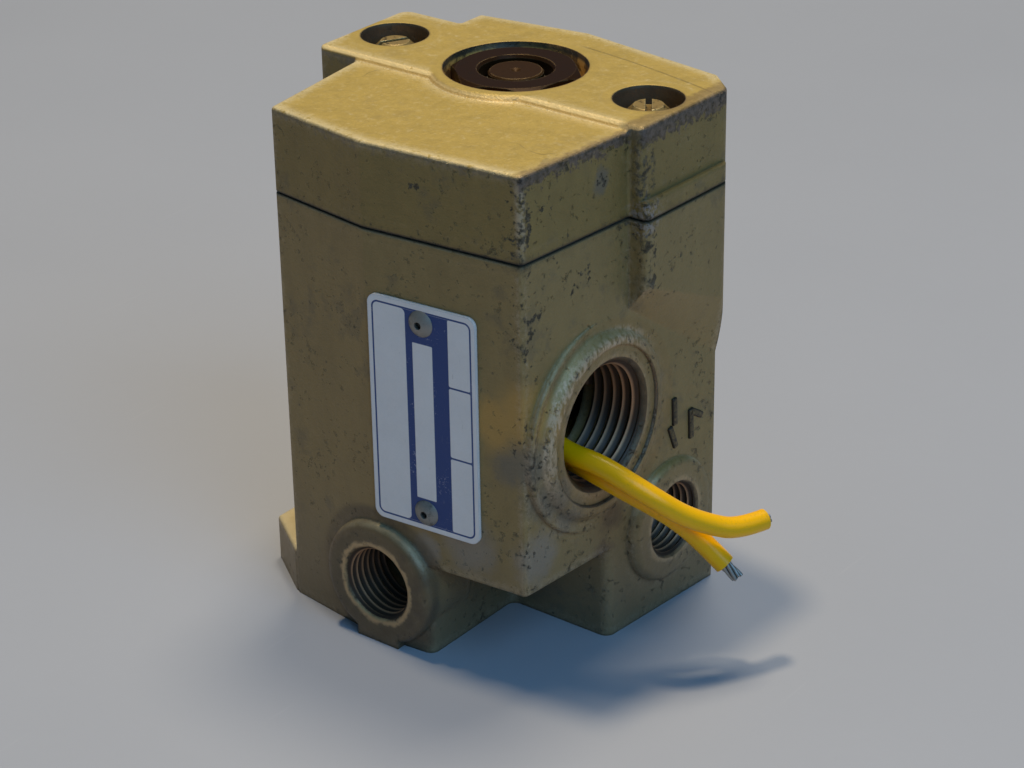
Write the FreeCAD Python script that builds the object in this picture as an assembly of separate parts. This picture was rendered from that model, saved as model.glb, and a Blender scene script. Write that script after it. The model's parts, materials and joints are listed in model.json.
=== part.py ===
# Pneumatic pilot valve: a three-way poppet valve in a die-cast body, worked by a solenoid above it.
# Millimetres, +Z up. X = 0 and Y = 0 on the valve and solenoid axis, Z = 0 on the mounting face of the base.
# The inlet faces -Y, the outlet and the conduit entry face +X, and the exhaust faces +Y.
import FreeCAD, Part
import math
import os

Vector = FreeCAD.Vector
UP = Vector(0, 0, 1)
RIGHT = Vector(1, 0, 0)
FRONT = Vector(0, -1, 0)
REAR = Vector(0, 1, 0)

# Outline of the housing, seen from above
front_left_x = -21.1
front_left_y = -34.3
front_ridge_x = -0.8
front_ridge_y = -37.2
front_right_x = 27.7
front_right_y = -34.7
rear_right_x = 28.0
rear_right_y = 15.3
rear_ridge_y = 19.5
rear_left_x = -20.3
rear_left_y = 16.6
edge_radius = 0.6
corner_radius = edge_radius + 0.2

# Ears that carry the cap screws, and the side walls, which stand a step inside them
ear_half_width = 32.1
ear_flare = 0.6
ear_front_y = -10.6
ear_rear_y = 11.2
ear_front_radius = 1.0
ear_rear_radius = 2.2
right_ear_step = 0.8
left_ear_step = 5.1
ear_lip = 0.95
ear_lip_height = 3.0
ear_lip_rounding = 0.3
ear_boss_front_height = 10.6
ear_boss_rear_height = 20.3
ear_boss_front_slope = 4.5
ear_boss_rear_slope = 9.8
ear_boss_overrun = 0.3

# Heights of the housing
body_height = 72.0
gasket_thickness = 0.4
cap_height = 13.85
plateau_rise = 0.9
plateau_front_y = -10.9
plateau_round = 14.1
gasket_inset = 0.3

# Base
overhang_height = 16.0
front_leg_right_x = 9.8
right_leg_front_y = -15.4
leg_corner_radius = 1.6
foot_height = 8.0
foot_inset = 0.7
foot_front_y = -27.3
foot_rear_y = 9.0

# Ports and the conduit entry
port_radius = 6.3
port_mouth_radius = 6.7
port_depth = 11.0
port_boss_radius = 10.8
port_boss_rounding = 1.5
port_boss_rise = 1.2
port_pad_half_width = 4.2
port_passage_radius = 1.4
inlet_height = 10.7
port_step = 5.1
conduit_radius = 10.3
conduit_mouth_radius = 11.0
conduit_face_radius = 13.1
conduit_face_rise = 0.8
conduit_boss_root = 5.0
conduit_y = -16.75
conduit_height = 39.5

# Section of the wide conduit boss, outside to inside: radius, and height above its machined face
conduit_boss_profile = [
    (17.9, -1.35),
    (17.65, -0.85),
    (17.0, -0.95),
    (16.2, -1.05),
    (15.3, -0.35),
    (14.4, 0.4),
    (13.5, 0.5),
    (12.6, 0.3),
]

# Chamber for the solenoid
chamber_half_width = 17.9
chamber_front_y = -31.0
chamber_rear_y = 14.4
chamber_corner_radius = 4.0
floor_wall = 1.8

# Nut recess and cap screws
nut_across_flats = 19.05
nut_height = 8.0
nut_top_below_cap = 0.25
nut_recess_radius = 11.56
nut_washer_radius = 10.8
nut_washer_thickness = 1.0
nut_turn = 19.0
nut_chamfer_angle = 30.0
nut_mouth_width = 0.4
nut_mouth_depth = 0.6
cap_pocket_depth = 9.0
cap_pocket_rear_y = -15.5
screw_edge_distance = 6.76
screw_y = 0.47
screw_recess_radius = 5.6
screw_recess_depth = 5.0
screw_radius = 2.0
screw_length = 20.5
screw_head_radius = 3.4
screw_head_height = 3.1
screw_slot_width = 1.0
screw_slot_depth = 1.3
screw_slot_turns = {"left": 62.0, "right": 125.0}
lock_washer_radius = 3.3
lock_washer_thickness = 0.9

# Core tube, with the neck that takes the nut
tube_radius = 7.1
tube_bore_radius = 6.3
tube_flange_radius = 12.0
tube_flange_thickness = 2.5
neck_radius = 5.85
neck_bore_radius = 4.6
neck_end_below_nut_top = 2.7
ledge_hole_radius = 2.7
ledge_thickness = 3.6

# Coil and magnet frame
coil_radius = 13.3
coil_flange_thickness = 1.6
yoke_thickness = 2.5
yoke_half_width = 11.0
yoke_gap = 0.3
outlet_block_front = 9.0
outlet_block_half_height = 6.0
outlet_block_left_x = -3.5
outlet_block_right_x = 6.0
outlet_block_height = 36.6

# Moving parts
travel = 1.6
button_radius = 4.45
button_head_length = 8.0
button_below_nut_top = 0.4
button_stem_radius = 2.5
button_dimple_radius = 0.9
button_edge = 0.3
clip_radius = 4.2
clip_thickness = 0.7
armature_radius = 6.2
armature_slot_width = 1.6
armature_slot_depth = 1.2
pole_length = 16.4
air_gap_reserve = 0.2
rod_radius = 1.25
spring_pocket_radius = 3.7
pole_pocket_depth = 8.0
armature_pocket_depth = 2.0
rod_grip = 4.0
shading_ring_inner = 4.4
shading_ring_outer = 5.4
shading_ring_depth = 1.2

# Valve cages, poppets and seals
cage_radius = 8.0
cage_depth_below_inlet = 3.3
spring_well_radius = 5.2
spring_well_depth = 3.4
seat_bore_radius = 2.6
seat_land = 1.3
middle_chamber_radius = 4.4
seat_lip_radius = 3.2
seat_lip_height = 0.3
cross_hole_radius = 1.1
cross_hole_count = 4
cage_groove_depth = 0.8
cage_groove_width = 2.8
bushing_length = 3.5
poppet_radius = 4.0
poppet_thickness = 1.8
seal_disc_radius = 3.6
seal_disc_thickness = 0.9

# O-rings and their grooves
cage_ring_section = 1.1
flange_ring_section = 0.9
flange_ring_radius = 10.5
button_ring_section = 0.8
ring_groove_allowance = 0.4

# Springs
button_spring_radius = 3.5
armature_spring_radius = 2.8
poppet_spring_radius = 3.3
spring_wire_radius = 0.3
button_spring_turns = 4
armature_spring_turns = 6
poppet_spring_turns = 4
spring_points_per_turn = 8

# Nameplate and its rivets
plate_width = 19.7
plate_thickness = 0.6
plate_middle_height = 42.6
plate_left_edge = 0.82
plate_corner_radius = 1.6
rivet_spacing = 32.6
rivet_end_distance = 3.05
rivet_head_radius = 2.2
rivet_head_height = 0.9
rivet_shank_radius = 1.2
rivet_length = 2.4
rivet_hole_radius = 0.6

# Clearances
fit_clearance = 0.04
slide_clearance = 0.1
contact_clearance = 0.05
thread_clearance = 0.05
drill_tip_ratio = 0.3

# Coil leads, with hand-chosen routes from the coil outlet, through the conduit entry and into the open
lead_radius = 1.7
strand_radius = 1.05
upper_strand_length = 0.8
lower_strand_length = 3.2
upper_route = [
    (6.0, -20.2, 38.8),
    (12.5, -20.2, 38.8),
    (19.5, -21.6, 37.7),
    (27.0, -22.8, 36.3),
    (32.1, -22.0, 35.7),
    (36.9, -21.2, 33.9),
    (41.1, -19.4, 31.3),
    (43.9, -16.4, 28.1),
    (46.5, -12.7, 25.6),
    (49.4, -8.7, 23.8),
    (51.1, -3.8, 24.0),
]
lower_route = [
    (6.0, -19.6, 33.6),
    (12.5, -19.6, 33.6),
    (20.5, -19.2, 33.1),
    (25.6, -19.4, 33.0),
    (30.6, -19.5, 32.1),
    (35.3, -18.6, 30.4),
    (38.9, -16.1, 27.8),
    (41.6, -13.2, 24.6),
    (44.3, -10.9, 21.0),
    (47.7, -9.6, 17.4),
]

# Places worked out from the sizes above
right_wall_rear_x = ear_half_width - right_ear_step
left_wall_rear_x = left_ear_step - ear_half_width
foot_left_x = foot_inset - ear_half_width
screw_x = ear_half_width - screw_edge_distance
plate_height = rivet_spacing + 2 * rivet_end_distance
outlet_height = inlet_height + port_step
exhaust_height = outlet_height + port_step
floor_z = exhaust_height + port_radius + floor_wall
cap_bottom = body_height + gasket_thickness
front_top = cap_bottom + cap_height
rear_top = front_top + plateau_rise
nut_top = rear_top - nut_top_below_cap
nut_bottom = nut_top - nut_height
nut_seat = nut_bottom - nut_washer_thickness
screw_seat = rear_top - screw_recess_depth
screw_under_head = screw_seat + lock_washer_thickness
screw_clearance_radius = screw_radius + 2 * slide_clearance
shoulder_z = cap_bottom - yoke_thickness
ledge_bottom = shoulder_z - coil_flange_thickness
ledge_top = ledge_bottom + ledge_thickness
neck_end = nut_top - neck_end_below_nut_top
button_top = nut_top - button_below_nut_top
button_shoulder = button_top - button_head_length
pole_top = floor_z + pole_length
armature_bottom = pole_top + travel + air_gap_reserve
armature_top = ledge_bottom - slide_clearance
rod_top = armature_bottom + armature_pocket_depth + rod_grip
clip_bottom = armature_top - clip_thickness
stem_end = clip_bottom - clip_thickness
armature_recess_floor = stem_end - contact_clearance
cage_bottom = inlet_height - cage_depth_below_inlet
lower_land = inlet_height + (port_step - seat_land) / 2
upper_land = outlet_height + (port_step - seat_land) / 2
bushing_bottom = floor_z - bushing_length
lower_disc_top = lower_land - seat_lip_height - contact_clearance
lower_poppet_bottom = lower_disc_top - seal_disc_thickness - poppet_thickness
upper_disc_bottom = upper_land + seat_land + seat_lip_height + travel + contact_clearance
upper_poppet_top = upper_disc_bottom + seal_disc_thickness + poppet_thickness
stem_top = floor_z + contact_clearance
well_floor = cage_bottom - spring_well_depth
boss_face_front = front_ridge_y - port_boss_rise
boss_face_rear = rear_ridge_y + port_boss_rise


# Helpers for outlines and solids

def rounded_outline(corners, z):
    """A closed wire through corners (x, y, radius), with each corner as a tangent arc."""
    count = len(corners)
    starts = []
    arcs = []
    for i in range(count):
        x, y, radius = corners[i]
        here = Vector(x, y, z)
        before = Vector(corners[i - 1][0], corners[i - 1][1], z) - here
        after = Vector(corners[(i + 1) % count][0], corners[(i + 1) % count][1], z) - here
        half = before.getAngle(after) / 2
        reach = min(radius / math.tan(half), 0.45 * before.Length, 0.45 * after.Length)
        before.normalize()
        after.normalize()
        bisector = (before + after).normalize()
        size = reach * math.tan(half)
        middle = here + bisector * (size / math.sin(half) - size)
        first = here + before * reach
        last = here + after * reach
        starts.append((first, last))
        arcs.append(Part.Arc(first, middle, last).toShape())
    edges = []
    for i in range(count):
        edges.append(arcs[i])
        edges.append(Part.makeLine(starts[i][1], starts[(i + 1) % count][0]))
    return Part.Wire(edges)


def inset(corners, distance):
    """The same outline, counter-clockwise, with every side moved inward by the distance."""
    count = len(corners)
    moved = []
    for i in range(count):
        x0, y0 = corners[i - 1][:2]
        x1, y1, radius = corners[i]
        x2, y2 = corners[(i + 1) % count][:2]
        a = Vector(x1 - x0, y1 - y0, 0).normalize()
        b = Vector(x2 - x1, y2 - y1, 0).normalize()
        turn = a.x * b.y - a.y * b.x
        shift = distance * math.tan(math.asin(max(-1.0, min(1.0, turn))) / 2)
        px = x1 - a.y * distance - a.x * shift
        py = y1 + a.x * distance - a.y * shift
        moved.append((px, py, radius))
    return moved


def slab(corners, z0, z1):
    """The outline raised from z0 to z1."""
    return Part.Face(rounded_outline(corners, z0)).extrude(Vector(0, 0, z1 - z0))


def rounded_slab(corners, z0, z1, radius, at_top=True):
    """The outline raised from z0 to z1, with its top or its bottom edge rounded."""
    plain = slab(corners, z0, z1)
    middle = (z0 + z1) / 2
    if at_top:
        chosen = [edge for edge in plain.Edges if edge.BoundBox.ZMin > middle]
    else:
        chosen = [edge for edge in plain.Edges if edge.BoundBox.ZMax < middle]
    return plain.makeFillet(radius, chosen)


def cylinder(radius, z0, z1, x=0.0, y=0.0):
    return Part.makeCylinder(radius, z1 - z0, Vector(x, y, z0), UP)


def ring(outer, inner, z0, z1, x=0.0, y=0.0):
    return cylinder(outer, z0, z1, x, y).cut(cylinder(inner, z0, z1, x, y))


def box(x0, x1, y0, y1, z0, z1):
    return Part.makeBox(x1 - x0, y1 - y0, z1 - z0, Vector(x0, y0, z0))


def turned(profile):
    """A solid of revolution about Z, from a closed profile of (radius, z) points."""
    points = [Vector(r, 0, z) for r, z in profile]
    face = Part.Face(Part.makePolygon(points + points[:1]))
    return face.revolve(Vector(0, 0, 0), UP, 360)


def placed(shape, origin, direction):
    """A shape modelled along +Z, moved so that its +Z points along the direction."""
    copy = shape.copy()
    copy.Placement = FreeCAD.Placement(origin, FreeCAD.Rotation(UP, direction))
    return copy


def o_ring(middle_radius, section, z, x=0.0, y=0.0):
    return Part.makeTorus(middle_radius, section / 2, Vector(x, y, z), UP)


def tangent_path(points):
    """Straight runs joined by tangent arcs. Returns the wire, its length and the arcs' radii."""
    points = [Vector(*p) for p in points]
    edges = []
    radii = []
    length = 0.0
    start = points[0]
    for before, here, after in zip(points, points[1:], points[2:]):
        back = (before - here).normalize()
        ahead = (after - here).normalize()
        half_turn = (math.pi - back.getAngle(ahead)) / 2
        reach = 0.45 * min((before - here).Length, (after - here).Length)
        radius = reach / math.tan(half_turn)
        first = here + back * reach
        last = here + ahead * reach
        middle = here + (back + ahead).normalize() * (radius / math.cos(half_turn) - radius)
        edges.append(Part.makeLine(start, first))
        edges.append(Part.Arc(first, middle, last).toShape())
        length += (first - start).Length + 2 * half_turn * radius
        radii.append(radius)
        start = last
    edges.append(Part.makeLine(start, points[-1]))
    length += (points[-1] - start).Length
    return Part.Wire(edges), length, radii


def round_wire(points, radius):
    """A plain round section along a tangent path. Returns the tube, the path's length and its radii."""
    path, length, radii = tangent_path(points)
    start = Vector(*points[0])
    section = Part.Circle(start, Vector(*points[1]) - start, radius).toShape()
    return path.makePipeShell([Part.Wire(section)], True, False), length, radii


def spring(radius, z0, z1, turns):
    """An open coil of round wire that just fits between two levels."""
    count = turns * spring_points_per_turn
    step = 2 * math.pi / spring_points_per_turn
    rise = (z1 - z0 - 2 * spring_wire_radius) / count
    reach = radius / math.cos(step / 2)
    points = []
    for i in range(count + 1):
        z = z0 + spring_wire_radius + i * rise
        points.append((reach * math.cos(i * step), reach * math.sin(i * step), z))
    return round_wire(points, spring_wire_radius)[0]


def union(shapes):
    return shapes[0].multiFuse(shapes[1:]).removeSplitter()


def wall_x(x0, y0, x1, y1, y):
    """The X of the straight wall between two plan points, at a given Y."""
    return x0 + (x1 - x0) * (y - y0) / (y1 - y0)


# Outlines that the body, gasket and cap share

waist_right_x = wall_x(front_right_x, front_right_y, right_wall_rear_x, ear_rear_y, ear_front_y)
waist_left_x = wall_x(front_left_x, front_left_y, left_wall_rear_x, ear_rear_y, ear_front_y)
inner_radius = corner_radius / 2


def joint_outline(ears):
    """The outline at the joint, with the ears or without them, counter-clockwise."""
    corners = [
        (front_left_x, front_left_y, corner_radius),
        (front_ridge_x, front_ridge_y, corner_radius),
        (front_right_x, front_right_y, corner_radius),
    ]
    if ears:
        corners += [
            (waist_right_x, ear_front_y, inner_radius),
            (ear_half_width, ear_front_y, ear_front_radius),
            (ear_half_width + ear_flare, ear_rear_y, ear_rear_radius),
        ]
    else:
        corners += [(right_wall_rear_x, ear_rear_y, corner_radius)]
    corners += [
        (rear_right_x, rear_right_y, corner_radius),
        (0.0, rear_ridge_y, corner_radius),
        (rear_left_x, rear_left_y, corner_radius),
        (rear_left_x, ear_rear_y, inner_radius),
    ]
    if ears:
        corners += [
            (-ear_half_width, ear_rear_y, ear_rear_radius),
            (-ear_half_width, ear_front_y, ear_front_radius),
            (waist_left_x, ear_front_y, inner_radius),
        ]
    else:
        corners += [(left_wall_rear_x, ear_rear_y, corner_radius)]
    return corners


def ear_outline(side):
    """The lip outline of one ear, which stands a little proud of the cap above it."""
    inner = side * chamber_half_width
    front = side * (ear_half_width + ear_lip)
    rear = side * (ear_half_width + ear_lip) + max(side, 0) * ear_flare
    corners = [
        (inner, ear_front_y, inner_radius),
        (front, ear_front_y, ear_front_radius),
        (rear, ear_rear_y, ear_rear_radius),
        (inner, ear_rear_y, inner_radius),
    ]
    return corners if side > 0 else corners[::-1]


def chamber_outline():
    radius = chamber_corner_radius
    return [
        (-chamber_half_width, chamber_front_y, radius),
        (chamber_half_width, chamber_front_y, radius),
        (chamber_half_width, chamber_rear_y, radius),
        (-chamber_half_width, chamber_rear_y, radius),
    ]


# Body casting

def ear_boss(side):
    """The column under an ear. Its lower end slopes into the wall, and reaches lower at the rear."""
    front_x = ear_half_width + ear_lip
    rear_x = front_x + max(side, 0) * ear_flare
    if side > 0:
        front_wall_x = waist_right_x
        rear_wall_x = right_wall_rear_x
    else:
        front_wall_x = -waist_left_x
        rear_wall_x = -left_wall_rear_x
    ends = [
        (ear_front_y, front_wall_x, front_x, ear_boss_front_height, ear_boss_front_slope),
        (ear_rear_y, rear_wall_x, rear_x, ear_boss_rear_height, ear_boss_rear_slope),
    ]
    wires = []
    for y, wall, face, height, slope in ends:
        foot = body_height - height
        overrun_height = ear_boss_overrun * slope / (face - wall)
        start = foot + overrun_height
        end = foot - slope - overrun_height
        profile = [
            Vector(0, y, body_height),
            Vector(side * (face + ear_boss_overrun), y, body_height),
            Vector(side * (face + ear_boss_overrun), y, start),
            Vector(side * (wall - ear_boss_overrun), y, end),
            Vector(0, y, end),
        ]
        wires.append(Part.makePolygon(profile + profile[:1]))
    low = body_height - ear_boss_rear_height - 2 * ear_boss_rear_slope
    return Part.makeLoft(wires, True, True).common(slab(ear_outline(side), low, body_height))


def port_boss(origin, direction):
    """A round boss with a rounded edge."""
    boss = cylinder(port_boss_radius, -port_depth, 0)
    top = [edge for edge in boss.Edges if edge.BoundBox.ZMin > -port_depth / 2]
    return placed(boss.makeFillet(port_boss_rounding, top), origin, direction)


def inlet_pad():
    """The flat pad that carries the inlet boss down to the mounting face."""
    half = port_pad_half_width
    return box(-half, half, boss_face_front, boss_face_front + port_depth, 0, inlet_height)


def port_hole(origin, direction, inner_end):
    """The threaded mouth of a port, its drilled end and the narrow passage to the valve bore."""
    chamfer = port_mouth_radius - port_radius
    tip = port_depth + port_radius * drill_tip_ratio
    reach = (origin - inner_end).Length
    profile = [
        (0, port_step),
        (port_mouth_radius, port_step),
        (port_mouth_radius, 0),
        (port_radius, -chamfer),
        (port_radius, -port_depth),
        (port_passage_radius, -min(tip, reach)),
        (port_passage_radius, -reach),
        (0, -reach),
    ]
    return placed(turned(profile), origin, direction)


inlet_mouth = Vector(0, boss_face_front, inlet_height)
right_wall_at_axis = wall_x(front_right_x, front_right_y, right_wall_rear_x, ear_rear_y, 0.0)
outlet_mouth = Vector(right_wall_at_axis + port_boss_rise - slide_clearance, 0, outlet_height)
exhaust_mouth = Vector(0, boss_face_rear, exhaust_height)
ports = [
    (inlet_mouth, FRONT, Vector(0, -cage_radius + fit_clearance, inlet_height)),
    (outlet_mouth, RIGHT, Vector(cage_radius - fit_clearance, 0, outlet_height)),
    (exhaust_mouth, REAR, Vector(0, cage_radius - fit_clearance, exhaust_height)),
]


conduit_wall_x = wall_x(front_right_x, front_right_y, right_wall_rear_x, ear_rear_y, conduit_y)
conduit_face_x = conduit_wall_x + conduit_face_rise


def conduit_boss():
    """The wide boss round the conduit entry: a thin rim, a shallow valley and a round ridge."""
    section = [Vector(radius, 0, z) for radius, z in conduit_boss_profile]
    curve = Part.BSplineCurve()
    curve.interpolate(section)
    foot = section[0]
    crest = section[-1]
    root = foot.z - conduit_boss_root
    path = Part.makePolygon([crest, Vector(0, 0, crest.z), Vector(0, 0, root), Vector(foot.x, 0, root), foot])
    outline = Part.Wire(path.Edges + [curve.toShape()])
    boss = Part.Face(outline).revolve(Vector(0, 0, 0), UP, 360)
    return placed(boss, Vector(conduit_face_x, conduit_y, conduit_height), RIGHT)


def conduit_hole():
    """The machined face, the chamfered mouth and the bore, through to the chamber."""
    chamfer = conduit_mouth_radius - conduit_radius
    depth = conduit_face_x - chamber_half_width + chamfer
    profile = [
        (0, conduit_boss_root),
        (conduit_face_radius, conduit_boss_root),
        (conduit_face_radius, 0),
        (conduit_mouth_radius, 0),
        (conduit_radius, -chamfer),
        (conduit_radius, -depth),
        (0, -depth),
    ]
    return placed(turned(profile), Vector(conduit_face_x, conduit_y, conduit_height), RIGHT)


def left_foot():
    """The low foot along the left side, with its slanted front corner."""
    corners = [
        (front_left_x, front_left_y, corner_radius),
        (0.0, ear_front_y, corner_radius),
        (0.0, foot_rear_y, corner_radius),
        (foot_left_x, foot_rear_y, leg_corner_radius),
        (foot_left_x, foot_front_y, corner_radius),
    ]
    return rounded_slab(corners, 0, foot_height, edge_radius)


def overhang_cut():
    """The space under the front right of the housing, which leaves two legs."""
    far = 2 * ear_half_width
    corners = [
        (front_leg_right_x, -far, inner_radius),
        (far, -far, inner_radius),
        (far, right_leg_front_y, inner_radius),
        (front_leg_right_x, right_leg_front_y, leg_corner_radius),
    ]
    return slab(corners, -1, overhang_height + 1)


def rounded_corners(shape, places, radius):
    """Rounds the upright edges that stand nearest to the given plan places."""
    chosen = []
    for x, y in places:
        upright = [e for e in shape.Edges if e.BoundBox.XLength + e.BoundBox.YLength < 0.01]
        low = [e for e in upright if e.BoundBox.ZMin < 0.01]
        chosen.append(min(low, key=lambda e: math.hypot(e.CenterOfMass.x - x, e.CenterOfMass.y - y)))
    return shape.makeFillet(radius, chosen)


def base():
    """The lower part of the housing, with the step under its front right corner."""
    leg_front_y = wall_x(front_ridge_y, front_ridge_x, front_right_y, front_right_x, front_leg_right_x)
    leg_right_x = wall_x(front_right_x, front_right_y, right_wall_rear_x, ear_rear_y, right_leg_front_y)
    legs = slab(joint_outline(False), 0, overhang_height + edge_radius).cut(overhang_cut())
    corners = [(front_leg_right_x, leg_front_y), (leg_right_x, right_leg_front_y)]
    return rounded_corners(legs, corners, leg_corner_radius)


def valve_body():
    walls = rounded_slab(joint_outline(False), overhang_height, body_height, edge_radius, False)
    solids = [walls, base(), left_foot(), inlet_pad(), conduit_boss(), ear_boss(-1), ear_boss(1)]
    for mouth, direction, inner_end in ports:
        solids.append(port_boss(mouth, direction))
    body = union(solids)
    far = 2 * ear_half_width
    body = body.cut(box(-far, far, -far, far, -port_boss_radius, 0))
    hollows = [
        slab(chamber_outline(), floor_z, body_height + 1),
        conduit_hole(),
        cylinder(cage_radius, cage_bottom, floor_z + 1),
        cylinder(spring_well_radius, well_floor, cage_bottom + 1),
    ]
    for mouth, direction, inner_end in ports:
        hollows.append(port_hole(mouth, direction, inner_end))
    for side in (-1, 1):
        hollows.append(screw_hole(side * screw_x))
    for z in (-1, 1):
        hollows.append(rivet_place(cylinder(rivet_shank_radius, -rivet_length, plate_thickness), z))
    return body.cut(hollows).removeSplitter()


def screw_hole(x):
    """The tapped hole in an ear column, with its drilled end."""
    radius = screw_radius + thread_clearance
    end = screw_under_head - screw_length - screw_radius
    hole = turned([(0, end - radius * drill_tip_ratio), (radius, end), (radius, cap_bottom), (0, cap_bottom)])
    hole.translate(Vector(x, screw_y, 0))
    return hole


# Cap and gasket

def cap_gasket():
    outer = slab(inset(joint_outline(True), gasket_inset), body_height, cap_bottom)
    cuts = [slab(chamber_outline(), body_height - 1, cap_bottom + 1)]
    for side in (-1, 1):
        x = side * screw_x
        cuts.append(cylinder(screw_clearance_radius, body_height - 1, cap_bottom + 1, x, screw_y))
    return outer.cut(cuts)


def plateau_region():
    """The higher rear part of the cap's top, with its bevelled step and the round swell at the nut."""
    far = 2 * ear_half_width
    low = front_top - plateau_rise
    profile = [
        Vector(-far, plateau_front_y - plateau_rise, low),
        Vector(-far, plateau_front_y + plateau_rise, rear_top),
        Vector(-far, far, rear_top),
        Vector(-far, far, low),
    ]
    step = Part.Face(Part.makePolygon(profile + profile[:1])).extrude(Vector(2 * far, 0, 0))
    wide = plateau_round + plateau_rise
    narrow = plateau_round - plateau_rise
    return step.fuse(Part.makeCone(wide, narrow, 2 * plateau_rise, Vector(0, 0, low)))


def cap():
    corners = joint_outline(True)
    low = rounded_slab(corners, cap_bottom, front_top, edge_radius)
    high = rounded_slab(corners, cap_bottom, rear_top, edge_radius)
    solids = [low, high.common(plateau_region())]
    lip_top = cap_bottom + ear_lip_height
    for side in (-1, 1):
        solids.append(rounded_slab(ear_outline(side), cap_bottom, lip_top, ear_lip_rounding))
    body = union(solids)
    pocket = [
        (-chamber_half_width, chamber_front_y, chamber_corner_radius),
        (chamber_half_width, chamber_front_y, chamber_corner_radius),
        (chamber_half_width, cap_pocket_rear_y, chamber_corner_radius),
        (-chamber_half_width, cap_pocket_rear_y, chamber_corner_radius),
    ]
    cuts = [
        cylinder(nut_recess_radius, nut_seat, rear_top + 1),
        cylinder(neck_radius + slide_clearance, cap_bottom - 1, nut_seat + 1),
        slab(pocket, cap_bottom - 1, cap_bottom + cap_pocket_depth),
    ]
    for side in (-1, 1):
        x = side * screw_x
        cuts.append(cylinder(screw_recess_radius, screw_seat, rear_top + 1, x, screw_y))
        cuts.append(cylinder(screw_clearance_radius, cap_bottom - 1, screw_seat + 1, x, screw_y))
    return body.cut(cuts).removeSplitter()


def cap_screw(x, slot_turn):
    """A slotted screw with a round-edged head."""
    top = screw_under_head + screw_head_height
    edge = screw_head_height / 3
    end = screw_under_head - screw_length
    profile = [
        (0, end),
        (screw_radius - edge / 2, end),
        (screw_radius, end + edge),
        (screw_radius, screw_under_head),
        (screw_head_radius, screw_under_head),
        (screw_head_radius, top - edge),
        (screw_head_radius - edge, top),
        (0, top),
    ]
    slot = box(-2 * screw_head_radius, 2 * screw_head_radius, -screw_slot_width / 2, screw_slot_width / 2,
               top - screw_slot_depth, top + 1)
    slot.rotate(Vector(0, 0, 0), UP, slot_turn)
    screw = turned(profile).cut(slot)
    screw.translate(Vector(x, screw_y, 0))
    return screw


def lock_washer(x):
    """A split spring washer, with its gap."""
    inner = screw_radius + slide_clearance
    washer = ring(lock_washer_radius, inner, screw_seat, screw_under_head, x, screw_y)
    gap_end = screw_y + screw_slot_width / 2
    return washer.cut(box(x, x + 2 * lock_washer_radius, screw_y, gap_end, screw_seat, screw_under_head))


# Nut and core tube

def core_nut():
    """A hexagon nut with its corners turned down at the top."""
    across_corners = nut_across_flats / math.cos(math.pi / 6) / 2
    points = []
    for i in range(6):
        angle = math.radians(nut_turn + 60 * i)
        points.append(Vector(across_corners * math.cos(angle), across_corners * math.sin(angle), nut_bottom))
    hexagon = Part.Face(Part.makePolygon(points + points[:1])).extrude(Vector(0, 0, nut_height))
    top_radius = nut_across_flats / 2
    spread = nut_height / math.tan(math.radians(nut_chamfer_angle))
    dome = Part.makeCone(top_radius + spread, top_radius, nut_height, Vector(0, 0, nut_bottom))
    mouth = Part.makeCone(neck_radius, neck_radius + nut_mouth_width, nut_mouth_depth,
                          Vector(0, 0, nut_top - nut_mouth_depth))
    bore = cylinder(neck_radius + thread_clearance, nut_bottom, nut_top)
    return hexagon.common(dome).cut([bore, mouth])


def nut_washer():
    return ring(nut_washer_radius, neck_radius + slide_clearance, nut_seat, nut_bottom)


def core_tube():
    """The tube that guides the armature, with a flange below and a threaded neck above."""
    outer = [
        (0, floor_z),
        (tube_flange_radius, floor_z),
        (tube_flange_radius, floor_z + tube_flange_thickness),
        (tube_radius, floor_z + tube_flange_thickness),
        (tube_radius, shoulder_z),
        (neck_radius, shoulder_z),
        (neck_radius, neck_end),
        (0, neck_end),
    ]
    groove_half = (flange_ring_section + ring_groove_allowance) / 2
    hollows = [
        cylinder(tube_bore_radius, floor_z, ledge_bottom),
        cylinder(ledge_hole_radius, ledge_bottom, ledge_top),
        cylinder(neck_bore_radius, ledge_top, neck_end),
        ring(flange_ring_radius + groove_half, flange_ring_radius - groove_half, floor_z,
             floor_z + flange_ring_section),
    ]
    return turned(outer).cut(hollows)


def pole_piece():
    """The fixed core at the foot of the tube, with the spring pocket and the groove for the shading ring."""
    hollows = [
        cylinder(rod_radius + slide_clearance, floor_z, pole_top),
        cylinder(spring_pocket_radius, pole_top - pole_pocket_depth, pole_top),
        ring(shading_ring_outer, shading_ring_inner, pole_top - shading_ring_depth, pole_top),
    ]
    return cylinder(tube_bore_radius - fit_clearance, floor_z, pole_top).cut(hollows)


def shading_ring():
    return ring(shading_ring_outer, shading_ring_inner, pole_top - shading_ring_depth, pole_top)


# Moving solenoid parts

def armature():
    """The plunger, with air slots along its sides, a spring pocket and the rod's hole below, and a recess
    for the button's stem above."""
    body = cylinder(armature_radius, armature_bottom, armature_top)
    cuts = [
        cylinder(spring_pocket_radius, armature_bottom, armature_bottom + armature_pocket_depth),
        cylinder(clip_radius + 4 * slide_clearance, armature_recess_floor, armature_top),
        cylinder(rod_radius, armature_bottom, rod_top),
    ]
    half = armature_slot_width / 2
    for side in (-1, 1):
        near = side * (armature_radius - armature_slot_depth)
        far = side * 2 * armature_radius
        cuts.append(box(min(near, far), max(near, far), -half, half, armature_bottom, armature_top))
    return body.cut(cuts)


def push_rod():
    return cylinder(rod_radius, stem_top + contact_clearance, rod_top)


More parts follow.
